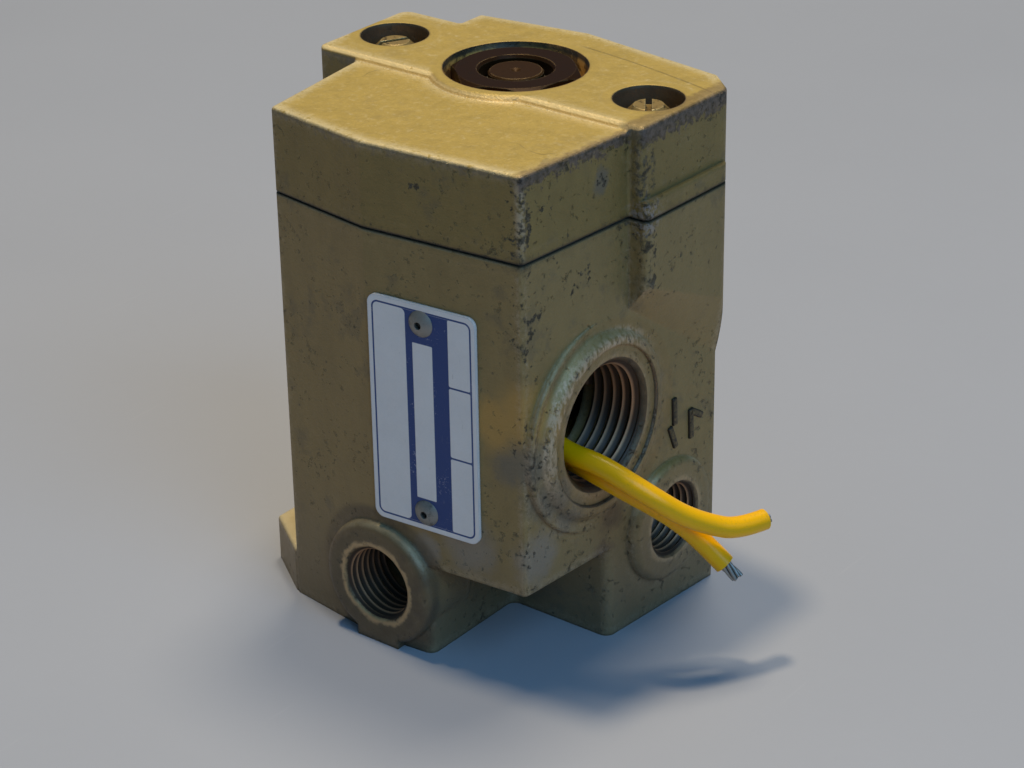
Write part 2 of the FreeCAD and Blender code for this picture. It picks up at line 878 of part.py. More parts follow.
def override_button():
    """The flush button in the nut, with its stem, seal groove, clip groove and centre dimple."""
    groove_middle = button_top - button_head_length / 2
    groove_half = (button_ring_section + ring_groove_allowance) / 2
    groove_radius = neck_bore_radius - button_ring_section
    profile = [
        (0, stem_end),
        (button_stem_radius, stem_end),
        (button_stem_radius, clip_bottom),
        (button_stem_radius - clip_thickness, clip_bottom),
        (button_stem_radius - clip_thickness, clip_bottom + clip_thickness),
        (button_stem_radius, clip_bottom + clip_thickness),
        (button_stem_radius, button_shoulder),
        (button_radius, button_shoulder),
        (button_radius, groove_middle - groove_half),
        (groove_radius, groove_middle - groove_half),
        (groove_radius, groove_middle + groove_half),
        (button_radius, groove_middle + groove_half),
        (button_radius, button_top - button_edge),
        (button_radius - button_edge, button_top),
        (button_dimple_radius, button_top),
        (0, button_top - button_dimple_radius / 2),
    ]
    return turned(profile)


def button_clip():
    """An open retaining clip in the groove of the button's stem."""
    inner = button_stem_radius - clip_thickness
    clip = ring(clip_radius, inner, clip_bottom, clip_bottom + clip_thickness)
    return clip.cut(box(0, 2 * clip_radius, -inner, inner, clip_bottom, clip_bottom + clip_thickness))


def button_seal():
    middle = button_top - button_head_length / 2
    return o_ring(neck_bore_radius - button_ring_section / 2, button_ring_section, middle)


# Coil and magnet frame

yoke_low = floor_z + tube_flange_thickness
coil_bottom = yoke_low + yoke_thickness + contact_clearance
coil_top = shoulder_z - contact_clearance


def coil():
    """The moulded coil, with two flanges and the block where the leads come out."""
    waist = coil_radius - coil_flange_thickness / 2
    bore = tube_radius + slide_clearance
    profile = [
        (bore, coil_bottom),
        (coil_radius, coil_bottom),
        (coil_radius, coil_bottom + coil_flange_thickness),
        (waist, coil_bottom + 2 * coil_flange_thickness),
        (waist, coil_top - 2 * coil_flange_thickness),
        (coil_radius, coil_top - coil_flange_thickness),
        (coil_radius, coil_top),
        (bore, coil_top),
    ]
    low = max(outlet_block_height - outlet_block_half_height, coil_bottom)
    front = -coil_radius - outlet_block_front
    block = box(outlet_block_left_x, outlet_block_right_x, front, -bore - coil_flange_thickness,
                low, outlet_block_height + outlet_block_half_height)
    return union([turned(profile), block])


def yoke():
    """The bent steel strip round the coil, from the tube's flange up to its shoulder."""
    left = -coil_radius - yoke_gap - yoke_thickness
    right = coil_radius
    solids = [
        box(left, right, -yoke_half_width, yoke_half_width, yoke_low, yoke_low + yoke_thickness),
        box(left, right, -yoke_half_width, yoke_half_width, shoulder_z, cap_bottom),
        box(left, left + yoke_thickness, -yoke_half_width, yoke_half_width, yoke_low, cap_bottom),
    ]
    holes = [
        cylinder(tube_radius + slide_clearance, yoke_low, yoke_low + yoke_thickness),
        cylinder(neck_radius + slide_clearance, shoulder_z, cap_bottom),
    ]
    return union(solids).cut(holes)


def flange_seal():
    return o_ring(flange_ring_radius, flange_ring_section, floor_z + flange_ring_section / 2)


# Valve cages, poppets and seals

outer_radius = cage_radius - fit_clearance


def cage_ports(z):
    """The ring groove round a cage and the cross holes in it."""
    half = cage_groove_width / 2
    cuts = [ring(2 * cage_radius, outer_radius - cage_groove_depth, z - half, z + half)]
    for i in range(cross_hole_count):
        hole = Part.makeCylinder(cross_hole_radius, cage_radius, Vector(0, 0, z), RIGHT)
        hole.rotate(Vector(0, 0, z), UP, 45 + 360 * i / cross_hole_count)
        cuts.append(hole)
    return cuts


def ring_groove(z):
    half = (cage_ring_section + ring_groove_allowance) / 2
    return ring(2 * cage_radius, cage_radius - cage_ring_section, z - half, z + half)


lower_ring_z = lower_land + seat_land / 2
upper_ring_z = upper_land + seat_land / 2
top_ring_z = bushing_bottom + bushing_length / 2


def lower_cage():
    """The lower sleeve: its land holds the inlet seat, with the lip below."""
    profile = [
        (spring_well_radius, cage_bottom),
        (outer_radius, cage_bottom),
        (outer_radius, upper_land),
        (middle_chamber_radius, upper_land),
        (middle_chamber_radius, lower_land + seat_land),
        (seat_bore_radius, lower_land + seat_land),
        (seat_bore_radius, lower_land - seat_lip_height),
        (seat_lip_radius, lower_land - seat_lip_height),
        (seat_lip_radius, lower_land),
        (spring_well_radius, lower_land),
    ]
    cuts = cage_ports(inlet_height) + cage_ports(outlet_height) + [ring_groove(lower_ring_z)]
    return turned(profile).cut(cuts)


def upper_cage():
    """The upper sleeve: its land holds the exhaust seat, with the lip above."""
    lip_top = upper_land + seat_land + seat_lip_height
    profile = [
        (seat_bore_radius, upper_land),
        (outer_radius, upper_land),
        (outer_radius, floor_z),
        (spring_well_radius, floor_z),
        (spring_well_radius, upper_land + seat_land),
        (seat_lip_radius, upper_land + seat_land),
        (seat_lip_radius, lip_top),
        (seat_bore_radius, lip_top),
    ]
    cuts = cage_ports(exhaust_height) + [ring_groove(upper_ring_z), ring_groove(top_ring_z)]
    return turned(profile).cut(cuts)


def guide_bushing():
    return ring(spring_well_radius - fit_clearance, rod_radius + fit_clearance, bushing_bottom, floor_z)


def cage_seal(z):
    return o_ring(cage_radius - cage_ring_section / 2, cage_ring_section, z)


def poppet_stem():
    return cylinder(rod_radius, lower_poppet_bottom, stem_top)


def lower_poppet():
    return ring(poppet_radius, rod_radius, lower_poppet_bottom, lower_disc_top - seal_disc_thickness)


def lower_seal_disc():
    return ring(seal_disc_radius, rod_radius, lower_disc_top - seal_disc_thickness, lower_disc_top)


def upper_seal_disc():
    return ring(seal_disc_radius, rod_radius, upper_disc_bottom, upper_disc_bottom + seal_disc_thickness)


def upper_poppet():
    return ring(poppet_radius, rod_radius, upper_disc_bottom + seal_disc_thickness, upper_poppet_top)


# Nameplate on the right front face

face_run = Vector(front_right_x - front_ridge_x, front_right_y - front_ridge_y, 0).normalize()
face_normal = Vector(face_run.y, -face_run.x, 0)
plate_offset = face_run * (plate_left_edge + plate_width / 2)
plate_middle = Vector(front_ridge_x, front_ridge_y, plate_middle_height) + plate_offset


def on_face(shape):
    """A shape modelled on the XY plane, with +Y up, set on the right front face."""
    copy = shape.copy()
    turn = FreeCAD.Rotation(face_run, UP, face_normal)
    copy.Placement = FreeCAD.Placement(plate_middle, turn).multiply(shape.Placement)
    return copy


def rivet_place(shape, end):
    """A shape modelled about Z, set on the face at the upper (1) or lower (-1) rivet."""
    moved = shape.copy()
    moved.translate(Vector(0, end * rivet_spacing / 2, 0))
    return on_face(moved)


def nameplate():
    half_width = plate_width / 2
    half_height = plate_height / 2
    corners = [
        (-half_width, -half_height, plate_corner_radius),
        (half_width, -half_height, plate_corner_radius),
        (half_width, half_height, plate_corner_radius),
        (-half_width, half_height, plate_corner_radius),
    ]
    plate = slab(corners, 0, plate_thickness)
    for end in (-1, 1):
        middle = end * rivet_spacing / 2
        plate = plate.cut(cylinder(rivet_shank_radius + fit_clearance, 0, plate_thickness, 0, middle))
    return on_face(plate)


def plate_rivet(end):
    """A domed drive rivet with a small hole in its head."""
    base = plate_thickness
    sphere_radius = (rivet_head_radius ** 2 + rivet_head_height ** 2) / (2 * rivet_head_height)
    centre = Vector(0, 0, base + rivet_head_height - sphere_radius)
    rim = cylinder(rivet_head_radius, base, base + rivet_head_height)
    dome = Part.makeSphere(sphere_radius, centre).common(rim)
    shank = cylinder(rivet_shank_radius, -rivet_length + contact_clearance, base)
    rivet = union([dome, shank]).cut(cylinder(rivet_hole_radius, base, base + 2 * rivet_head_height))
    return rivet_place(rivet, end)


# Coil leads

def lead(name, route):
    """One insulated lead: a plain round section along its route."""
    tube, length, radii = round_wire(route, lead_radius)
    ratio = tube.Volume / (math.pi * lead_radius ** 2 * length)
    rounded = ", ".join("%.1f" % radius for radius in radii)
    print("%s: length %.1f, volume ratio %.4f, radii %s" % (name, length, ratio, rounded))
    return tube


def strands(route, length):
    """The bare strands past the end of a lead's insulation."""
    end = Vector(*route[-1])
    direction = (end - Vector(*route[-2])).normalize()
    return Part.makeCylinder(strand_radius, length, end, direction)


# All pieces by name

def pieces():
    made = {
        "valve_body": valve_body(),
        "cap_gasket": cap_gasket(),
        "cap": cap(),
        "core_nut": core_nut(),
        "nut_washer": nut_washer(),
        "core_tube": core_tube(),
        "pole_piece": pole_piece(),
        "shading_ring": shading_ring(),
        "armature": armature(),
        "push_rod": push_rod(),
        "override_button": override_button(),
        "button_clip": button_clip(),
        "button_seal": button_seal(),
        "coil": coil(),
        "yoke": yoke(),
        "flange_seal": flange_seal(),
        "lower_cage": lower_cage(),
        "upper_cage": upper_cage(),
        "guide_bushing": guide_bushing(),
        "poppet_stem": poppet_stem(),
        "lower_poppet": lower_poppet(),
        "lower_seal_disc": lower_seal_disc(),
        "upper_poppet": upper_poppet(),
        "upper_seal_disc": upper_seal_disc(),
        "nameplate": nameplate(),
        "upper_rivet": plate_rivet(1),
        "lower_rivet": plate_rivet(-1),
        "lead_upper": lead("lead_upper", upper_route),
        "lead_lower": lead("lead_lower", lower_route),
        "lead_upper_strands": strands(upper_route, upper_strand_length),
        "lead_lower_strands": strands(lower_route, lower_strand_length),
    }
    for side, x in (("left", -screw_x), ("right", screw_x)):
        made["cap_screw_" + side] = cap_screw(x, screw_slot_turns[side])
        made["lock_washer_" + side] = lock_washer(x)
    for place, z in (("lower", lower_ring_z), ("middle", upper_ring_z), ("upper", top_ring_z)):
        made["cage_seal_" + place] = cage_seal(z)
    button_bottom = ledge_top
    made["button_spring"] = spring(button_spring_radius, button_bottom, button_shoulder, button_spring_turns)
    made["armature_spring"] = spring(
        armature_spring_radius,
        pole_top - pole_pocket_depth,
        armature_bottom + armature_pocket_depth,
        armature_spring_turns,
    )
    made["poppet_spring"] = spring(poppet_spring_radius, well_floor, lower_poppet_bottom, poppet_spring_turns)
    return made


os.makedirs("parts", exist_ok=True)
for name, shape in pieces().items():
    solids = shape.Solids
    whole = solids[0] if len(solids) == 1 else Part.makeCompound(solids)
    print(name, len(solids), shape.isValid(), round(whole.Volume, 2))
    whole.exportStep("parts/%s.step" % name)
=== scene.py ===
"""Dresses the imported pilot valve: finishes, threads, flow marks, leads and the stage round it.

Everything is in metres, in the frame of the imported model: +Z up, the inlet faces -Y, and the
outlet and the conduit entry face +X.
"""

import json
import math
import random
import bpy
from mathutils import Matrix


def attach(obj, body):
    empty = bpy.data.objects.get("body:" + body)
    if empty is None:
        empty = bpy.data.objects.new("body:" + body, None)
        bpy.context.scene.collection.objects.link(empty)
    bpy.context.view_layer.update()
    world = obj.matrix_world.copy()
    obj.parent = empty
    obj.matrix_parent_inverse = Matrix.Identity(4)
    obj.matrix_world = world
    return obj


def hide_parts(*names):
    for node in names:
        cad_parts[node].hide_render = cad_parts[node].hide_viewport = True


bl_info = {
    "name": "Pilot valve dressing",
    "version": (1, 0, 0),
    "blender": (4, 5, 0),
    "location": "3D View > Sidebar > Valve",
    "description": "Gives the packed pilot valve its finishes, threads, flow marks, leads and stage",
    "category": "Object",
}

import bpy
from mathutils import Matrix, Vector

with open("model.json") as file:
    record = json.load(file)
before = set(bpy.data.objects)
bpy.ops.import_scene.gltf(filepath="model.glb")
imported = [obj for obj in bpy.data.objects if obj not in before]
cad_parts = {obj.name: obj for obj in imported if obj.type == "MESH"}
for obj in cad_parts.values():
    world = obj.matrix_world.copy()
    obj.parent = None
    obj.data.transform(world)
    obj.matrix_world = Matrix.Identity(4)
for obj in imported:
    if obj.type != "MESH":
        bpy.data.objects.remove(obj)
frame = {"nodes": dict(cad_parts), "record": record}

MM = 0.001

UP = Vector((0.0, 0.0, 1.0))

# Places from the model, in metres
INLET = Vector((0.0, -38.4, 10.7)) * MM
OUTLET = Vector((31.52, 0.0, 15.8)) * MM
EXHAUST = Vector((0.0, 20.7, 20.9)) * MM
CONDUIT = Vector((29.91, -16.75, 39.5)) * MM
PORT_MOUTH = 6.7 * MM
CONDUIT_MOUTH = 11.0 * MM
CONDUIT_FACE = 13.1 * MM
WALL_CORNER = Vector((27.7, -34.7, 0.0)) * MM
WALL_RUN = Vector((3.6, 45.9, 0.0)).normalized()
WALL_OUT = WALL_RUN.cross(UP)
LIT_SIDE = Vector((0.0, -0.55, 0.83))
FACE_CORNER = Vector((-0.8, -37.2, 0.0)) * MM
FACE_RUN = Vector((28.5, 2.5, 0.0)).normalized()
PLATE_MIDDLE = FACE_CORNER + (FACE_RUN * 10.67 + UP * 42.6) * MM
EAR_CORNER = Vector((32.1, -9.6, 0.0)) * MM
EAR_FOOT = EAR_CORNER + UP * 72.5 * MM
NUT_AXIS = Vector((0.0, 0.0, 0.0))
SCREW_RECESSES = (Vector((-25.34, 0.47, 0.0)) * MM, Vector((25.34, 0.47, 0.0)) * MM)
PORT_BORE = 6.72 * MM
CONDUIT_BORE = 11.02 * MM
PARTING = 72.2 * MM
LEDGE_HEIGHT = 75.4 * MM
BAND_FOOT = 84.3 * MM

# Radii and heights in millimetres, as the finish of the casting uses them
NUT_RECESS = 11.56
SCREW_RECESS = 5.6
FOOT_TOP = 25.0
NUT_FLOOR = 79.0
SCREW_FLOOR = 80.0
CAP_FRONT_TOP = 86.25
CAP_TOP = 87.15
CREASE_START = 3.3


def on_wall(*spots):
    """Round places on the right wall. Each is how far behind its front corner, how high and how wide."""
    return [(WALL_CORNER + (WALL_RUN * along + UP * high) * MM, radius) for along, high, radius in spots]


def on_face(*spots):
    """Round places on the right front face. Each is how far from the ridge, how high and how wide."""
    return [(FACE_CORNER + (FACE_RUN * along + UP * high) * MM, radius) for along, high, radius in spots]


# Where the lacquer has been knocked off, and where it is scratched
KNOCKS = on_wall(
    (17.8, 80.2, 2.0), (5.9, 79.8, 2.0), (9.0, 83.8, 3.0), (33.0, 84.0, 3.0), (43.5, 74.0, 3.5),
    (44.0, 84.5, 3.0), (10.4, 64.9, 2.8), (14.1, 66.6, 2.4), (2.5, 62.0, 3.2), (41.5, 61.5, 4.5),
    (-2.0, 41.5, 4.0), (4.6, 31.6, 4.0), (-2.5, 24.0, 3.6),
) + on_face((10.0, 80.6, 1.8), (0.4, 63.0, 2.2), (23.0, 56.6, 1.8))
SCRATCHED = ((Vector((22, -28.5, 83)) * MM, 9.0), (Vector((-15, -13, 83)) * MM, 8.0))

# Each kind of stain: its places, its strength and its tint
STAINS = (
    (on_wall((0.6, 46.7, 8.0)) + on_face((23.5, 45.0, 6.5)), 0.85, (0.50, 0.28, 0.07)),
    (on_wall((20.5, 22.0, 4.0), (18.0, 16.0, 3.6)), 0.7, (0.12, 0.07, 0.035)),
    (on_wall((17.8, 80.2, 2.4), (0.5, 39.0, 6.0), (5.0, 32.5, 6.5), (9.0, 27.5, 4.5))
     + on_face((26.0, 38.0, 4.5)), 0.55, (0.13, 0.125, 0.12)),
    (on_face((18.3, 22.5, 7.0), (10.0, 19.0, 4.0)) + on_wall((3.0, 22.0, 6.0)), 0.5, (0.30, 0.265, 0.24)),
)

# Each bore: its mouth, the axis that it runs along, its radius, and how pale its lip is, by wear and painted
# highlight
BORES = (
    (INLET, 1, PORT_BORE, 0.75),
    (OUTLET, 0, PORT_BORE, 0.3),
    (EXHAUST, 1, PORT_BORE, 0.3),
    (CONDUIT, 0, CONDUIT_BORE, 0.12),
)

# Tints of the casting's wear, dirt and painted light; the step, crest, ridge and recess tints are painted
# highlight or shade. A pair is a dark and a light one, mixed by noise.
TARNISH = (0.12, 0.095, 0.06)
LOWER_DARK_GREY = (0.165, 0.135, 0.11)
SCRATCH_DIRT_AND_CREASE_SHADE = (0.07, 0.045, 0.02)
STEP_HIGHLIGHT_GOLD = (0.56, 0.34, 0.085)
CREST_HIGHLIGHT = (1.0, 0.74, 0.34)
EDGE_DIRT = ((0.06, 0.035, 0.015), (0.42, 0.27, 0.11))
RIDGE_METAL_AND_HIGHLIGHT = (0.70, 0.51, 0.34)
BOSS_WARMTH = (1.0, 0.95, 0.90)
CHIP_SPECKS = (0.115, 0.085, 0.055)
TOP_CHIP = (0.16, 0.115, 0.05)
PALE_DUST = (0.42, 0.35, 0.33)
DARK_BAND = ((0.025, 0.015, 0.011), (0.165, 0.112, 0.092))
DULL_BAND = (0.16, 0.125, 0.10)
OILY = (0.10, 0.066, 0.036)
RECESS_WALL_LIT = ((0.20, 0.085, 0.015), (0.90, 0.42, 0.08))
RECESS_RIM_SHADE = (0.04, 0.028, 0.014)
POCKET = (0.15, 0.095, 0.05)
CUT_METAL = ((0.05, 0.034, 0.018), (0.13, 0.09, 0.05))
CREAM = (0.66, 0.42, 0.20)

# Rounded panels on the plate, in millimetres from its middle: left, right, low, high and corner
PRINTED_FRAME = (-9.1, 9.1, -18.5, 18.45, 1.2)
PRINTED_FIELD = (-8.8, 8.8, -18.2, 18.15, 0.9)
BARE_BOXES = (
    (-8.8, -2.9, -18.2, 18.15, 0.8),
    (-1.65, 1.98, -13.8, 12.9, 0.15),
    (4.9, 8.8, 6.98, 18.15, 0.3),
    (4.9, 8.8, -5.1, 6.68, 0.3),
    (4.9, 8.8, -18.2, -5.4, 0.3),
)

# The routes of the leads in millimetres, from the coil's block to their cut ends
UPPER_ROUTE = (
    (6.0, -20.2, 38.8), (12.5, -20.2, 38.8), (19.5, -21.6, 37.7), (27.0, -22.8, 36.3),
    (32.1, -22.0, 35.7), (36.9, -21.2, 33.9), (41.1, -19.4, 31.3), (43.9, -16.4, 28.1),
    (46.5, -12.7, 25.6), (49.4, -8.7, 23.8), (51.1, -3.8, 24.0),
)
LOWER_ROUTE = (
    (6.0, -19.6, 33.6), (12.5, -19.6, 33.6), (20.5, -19.2, 33.1), (25.6, -19.4, 33.0),
    (30.6, -19.5, 32.1), (35.3, -18.6, 30.4), (38.9, -16.1, 27.8), (41.6, -13.2, 24.6),
    (44.3, -10.9, 21.0), (47.7, -9.6, 17.4),
)


# Settings that a user would change

def length_setting(label, text, default):
    return bpy.props.FloatProperty(name=label, description=text, default=default, min=0.0,
                                   subtype="DISTANCE", unit="LENGTH", precision=5)


def colour_setting(label, text, default):
    return bpy.props.FloatVectorProperty(name=label, description=text, default=default, size=3,
                                         min=0.0, max=1.0, subtype="COLOR")


def amount_setting(label, text, default):
    return bpy.props.FloatProperty(name=label, description=text, default=default, min=0.0, max=1.0)


def power_setting(label, text, default):
    return bpy.props.FloatProperty(name=label, description=text, default=default, min=0.0, unit="POWER")


class CoatSettings(bpy.types.PropertyGroup):
    # The top and side colours are lit and shaded copies of the gold lacquer: the top's gold is partly a
    # painted highlight and the darker sides are partly painted shade, along with duller, dustier lacquer on
    # the sides.
    top_colour: colour_setting("Top colour", "Gold lacquer on the faces that look up", (0.45, 0.310, 0.076))
    side_colour: colour_setting("Side colour", "Dull lacquer on the upright faces", (0.31, 0.208, 0.078))
    cap_colour: colour_setting("Cap colour", "Dull lacquer on the sides of the cap", (0.270, 0.178, 0.050))
    # Also the colour of the painted highlight along the rubbed edges and down the near corner.
    worn_colour: colour_setting("Worn colour", "Bare casting along rubbed edges", (0.66, 0.53, 0.39))
    # Rubbed edges of the top, together with the painted highlight on their rounding.
    polish_and_highlight_colour: colour_setting("Polish colour", "Bright rubbed edges of the top", (0.82, 0.68, 0.42))
    chip_colour: colour_setting("Chip colour", "Dark spots where the lacquer has gone", (0.045, 0.030, 0.016))
    # Dirt in corners and recesses, also standing for the painted shade there and the painted shadow at the
    # step of the conduit's face.
    dirt_and_shade_colour: colour_setting("Dirt colour", "Grime in corners and recesses", (0.05, 0.038, 0.025))
    edge_softness: length_setting("Edge softness", "Radius of the cast edges", 0.0008)
    wear: amount_setting("Wear", "How far the edges are rubbed bare", 0.75)


class ThreadSettings(bpy.types.PropertyGroup):
    port_pitch: length_setting("Port pitch", "Rise of the port thread in one turn", 1.337 * MM)
    port_root: length_setting("Port root", "Radius at the foot of the port thread", 6.34 * MM)
    port_crest: length_setting("Port crest", "Radius at the tip of the port thread", 5.7 * MM)
    port_depth: length_setting("Port depth", "How far the port thread reaches in", 9.6 * MM)
    conduit_pitch: length_setting("Conduit pitch", "Rise of the conduit thread in one turn", 1.814 * MM)
    conduit_root: length_setting("Conduit root", "Radius at the foot of the conduit thread", 10.34 * MM)
    conduit_crest: length_setting("Conduit crest", "Radius at the tip of the conduit thread", 9.45 * MM)
    conduit_depth: length_setting("Conduit depth", "How far the conduit thread reaches in", 11.0 * MM)
    metal_colour: colour_setting("Thread metal", "Cut casting with old oil on it", (0.46, 0.25, 0.13))


class MarkSettings(bpy.types.PropertyGroup):
    stroke: length_setting("Stroke", "Width of the raised flow marks", 1.15 * MM)
    height: length_setting("Height", "How far the flow marks stand proud", 0.38 * MM)


class PlateSettings(bpy.types.PropertyGroup):
    white: colour_setting("White", "Ground colour of the plate", (0.90, 0.81, 0.76))
    blue: colour_setting("Blue", "Printed colour of the plate", (0.016, 0.05, 0.19))
    scuffs: amount_setting("Scuffs", "Strength of the rubbed spots", 0.6)


class LeadSettings(bpy.types.PropertyGroup):
    diameter: length_setting("Diameter", "Outside of the insulation", 3.4 * MM)
    colour: colour_setting("Colour", "Insulation", (1.0, 0.50, 0.0))
    strand_radius: length_setting("Strand radius", "Radius of one wire strand", 0.33 * MM)
    strand_colour: colour_setting("Strand colour", "Tinned strands", (0.36, 0.34, 0.31))


class StageSettings(bpy.types.PropertyGroup):
    floor_colour: colour_setting("Floor", "Pale floor", (0.385, 0.397, 0.450))
    key_power: power_setting("Key lamp", "Warm lamp nearly overhead", 8.8)
    ceiling_power: power_setting("Ceiling", "Wider lamp overhead, towards the back", 8.8)
    window_power: power_setting("Window", "Wide cool lamp in front", 10.4)
    sky_level: amount_setting("Sky", "Level of the even light from all round", 0.155)
    lens: bpy.props.FloatProperty(name="Lens", description="Focal length of the camera", default=96.53,
                                  min=1.0, unit="CAMERA")


# Shader maths

def math_node(operation, swapped=False):
    """A Python operator that adds a Math node, with its two values swapped for a reflected form."""
    def operator(self, other):
        first, second = (other, self) if swapped else (self, other)
        return self.graph.math(operation, first, second)
    return operator


class Signal:
    """The output of a node. Python's operators on it add Math nodes."""

    def __init__(self, graph, socket):
        self.graph = graph
        self.socket = socket

    __add__, __radd__ = math_node("ADD"), math_node("ADD", True)
    __sub__, __rsub__ = math_node("SUBTRACT"), math_node("SUBTRACT", True)
    __mul__, __rmul__ = math_node("MULTIPLY"), math_node("MULTIPLY", True)
    __truediv__ = math_node("DIVIDE")
    __pow__ = math_node("POWER")

    def __abs__(self):
        return self.graph.math("ABSOLUTE", self)


class Graph:
    """The nodes of one material."""

    def __init__(self, name):
        self.material = bpy.data.materials.new(name)
        self.material.use_nodes = True
        self.tree = self.material.node_tree
        self.tree.nodes.clear()
        self.place = self.node("TexCoord", {}, {}, "Object")
        self.colour = None

    def node(self, kind, settings, sockets, output=0):
        """Adds a node, makes its settings, fills its sockets and gives back one of its outputs."""
        made = self.tree.nodes.new("ShaderNode" + kind)
        for name, value in settings.items():
            setattr(made, name, value)
        for name, value in sockets.items():
            socket = made.inputs[name]
            if isinstance(value, Signal):
                self.tree.links.new(value.socket, socket)
            elif socket.type == "RGBA":
                socket.default_value = (*value, 1.0)
            else:
                socket.default_value = value
        return Signal(self, made.outputs[output])

    def math(self, operation, *values):
        return self.node("Math", {"operation": operation}, dict(enumerate(values)))

    def vector(self, operation, *values):
        return self.node("VectorMath", {"operation": operation}, dict(enumerate(values)))

    def most(self, first, second):
        """The greater of two values."""
        return self.math("MAXIMUM", first, second)

    def lay(self, amount, tint):
        """Covers the colour so far with a tint, as far as the amount says."""
        self.colour = self.blend(amount, self.colour, tint)

    def blend(self, factor, first, second):
        """Goes from the first colour to the second as the factor goes from 0 to 1."""
        return self.node("Mix", {"data_type": "RGBA"}, {0: factor, 6: first, 7: second}, 2)

    def shade(self, colour, amount):
        """The colour times an amount that varies."""
        grey = self.node("CombineColor", {}, {0: amount, 1: amount, 2: amount})
        return self.multiply(1.0, colour, grey)

    def multiply(self, factor, first, second):
        """Goes from the first colour to its product with the second as the factor goes from 0 to 1."""
        settings = {"data_type": "RGBA", "blend_type": "MULTIPLY"}
        return self.node("Mix", settings, {0: factor, 6: first, 7: second}, 2)

    def fade(self, value, low, high, start=0.0, end=1.0):
        """Goes smoothly from start to end while the value goes from low to high."""
        return self.node("MapRange", {"interpolation_type": "SMOOTHSTEP"},
                         {0: value, 1: low, 2: high, 3: start, 4: end})

    def fade_mm(self, length, low, high, start=0.0, end=1.0):
        """The same for a length, with low and high in millimetres."""
        return self.fade(length, low * MM, high * MM, start, end)

    # In the helpers below, sizes, distances, radii and depths are in millimetres

    def noise(self, size, detail=3.0, roughness=0.55, at=None):
        """Cloudy noise whose spots are about this size, from 0 to 1."""
        return self.node("TexNoise", {}, {"Vector": at or self.place, "Scale": 1.0 / (size * MM),
                                          "Detail": detail, "Roughness": roughness})

    def cells(self, size):
        """Distance to the nearest of many scattered points, about this size apart."""
        return self.node("TexVoronoi", {}, {"Vector": self.place, "Scale": 1.0 / (size * MM)})

    def stretched(self, scale, turn=(0.0, 0.0, 0.0)):
        """Coordinates turned and stretched, for streaks and brushing."""
        return self.node("Mapping", {}, {0: self.place, 2: turn, 3: scale})

    def dot(self, first, second):
        return self.node("VectorMath", {"operation": "DOT_PRODUCT"}, {0: first, 1: second}, 1)

    def part(self, vector, axis):
        return self.node("SeparateXYZ", {}, {0: vector}, axis)

    def reach(self, centre, along=None):
        """Distance from a point, or from the line through it along an axis."""
        offset = self.vector("SUBTRACT", self.place, centre)
        if along is not None:
            flat = [0.0 if axis == along else 1.0 for axis in range(3)]
            offset = self.vector("MULTIPLY", offset, flat)
        return self.node("VectorMath", {"operation": "LENGTH"}, {0: offset}, 1)

    def soft_normal(self, radius):
        """The normal as if the edges were rounded."""
        return self.node("Bevel", {"samples": 4}, {"Radius": radius * MM})

    def edges(self, radius):
        """From 0 on flat ground to 1 on an edge."""
        true = self.node("NewGeometry", {}, {}, "True Normal")
        return 1.0 - self.dot(self.soft_normal(radius), true)

    def crevice(self, distance):
        """From 0 in the open to 1 deep in a corner."""
        return 1.0 - self.node("AmbientOcclusion", {"samples": 4}, {"Distance": distance * MM}, "AO")

    def relief(self, height, depth, normal=None):
        sockets = {"Height": height, "Distance": depth * MM, "Strength": 1.0}
        if normal is not None:
            sockets["Normal"] = normal
        return self.node("Bump", {}, sockets)

    def surface(self, **sockets):
        """Ends the graph in a Principled shader of the colour so far, with these sockets."""
        named = {name.replace("_", " "): value for name, value in sockets.items()}
        shader = self.node("BsdfPrincipled", {}, {"Base Color": self.colour, **named})
        last = self.tree.nodes.new("ShaderNodeOutputMaterial")
        self.tree.links.new(shader.socket, last.inputs["Surface"])
        return self.material


# Finishes

def bore_mask(graph, origin, axis, radius, margin):
    """1 inside the round mouth that opens at the origin along an axis (0 for X, 1 for Y), else 0."""
    inside = graph.fade(graph.reach(origin, axis), radius, radius - margin)
    side = 1.0 if origin[axis] > 0 else -1.0
    depth = (origin[axis] - graph.part(graph.place, axis)) * side
    return inside * graph.fade_mm(depth, 16, 14), depth


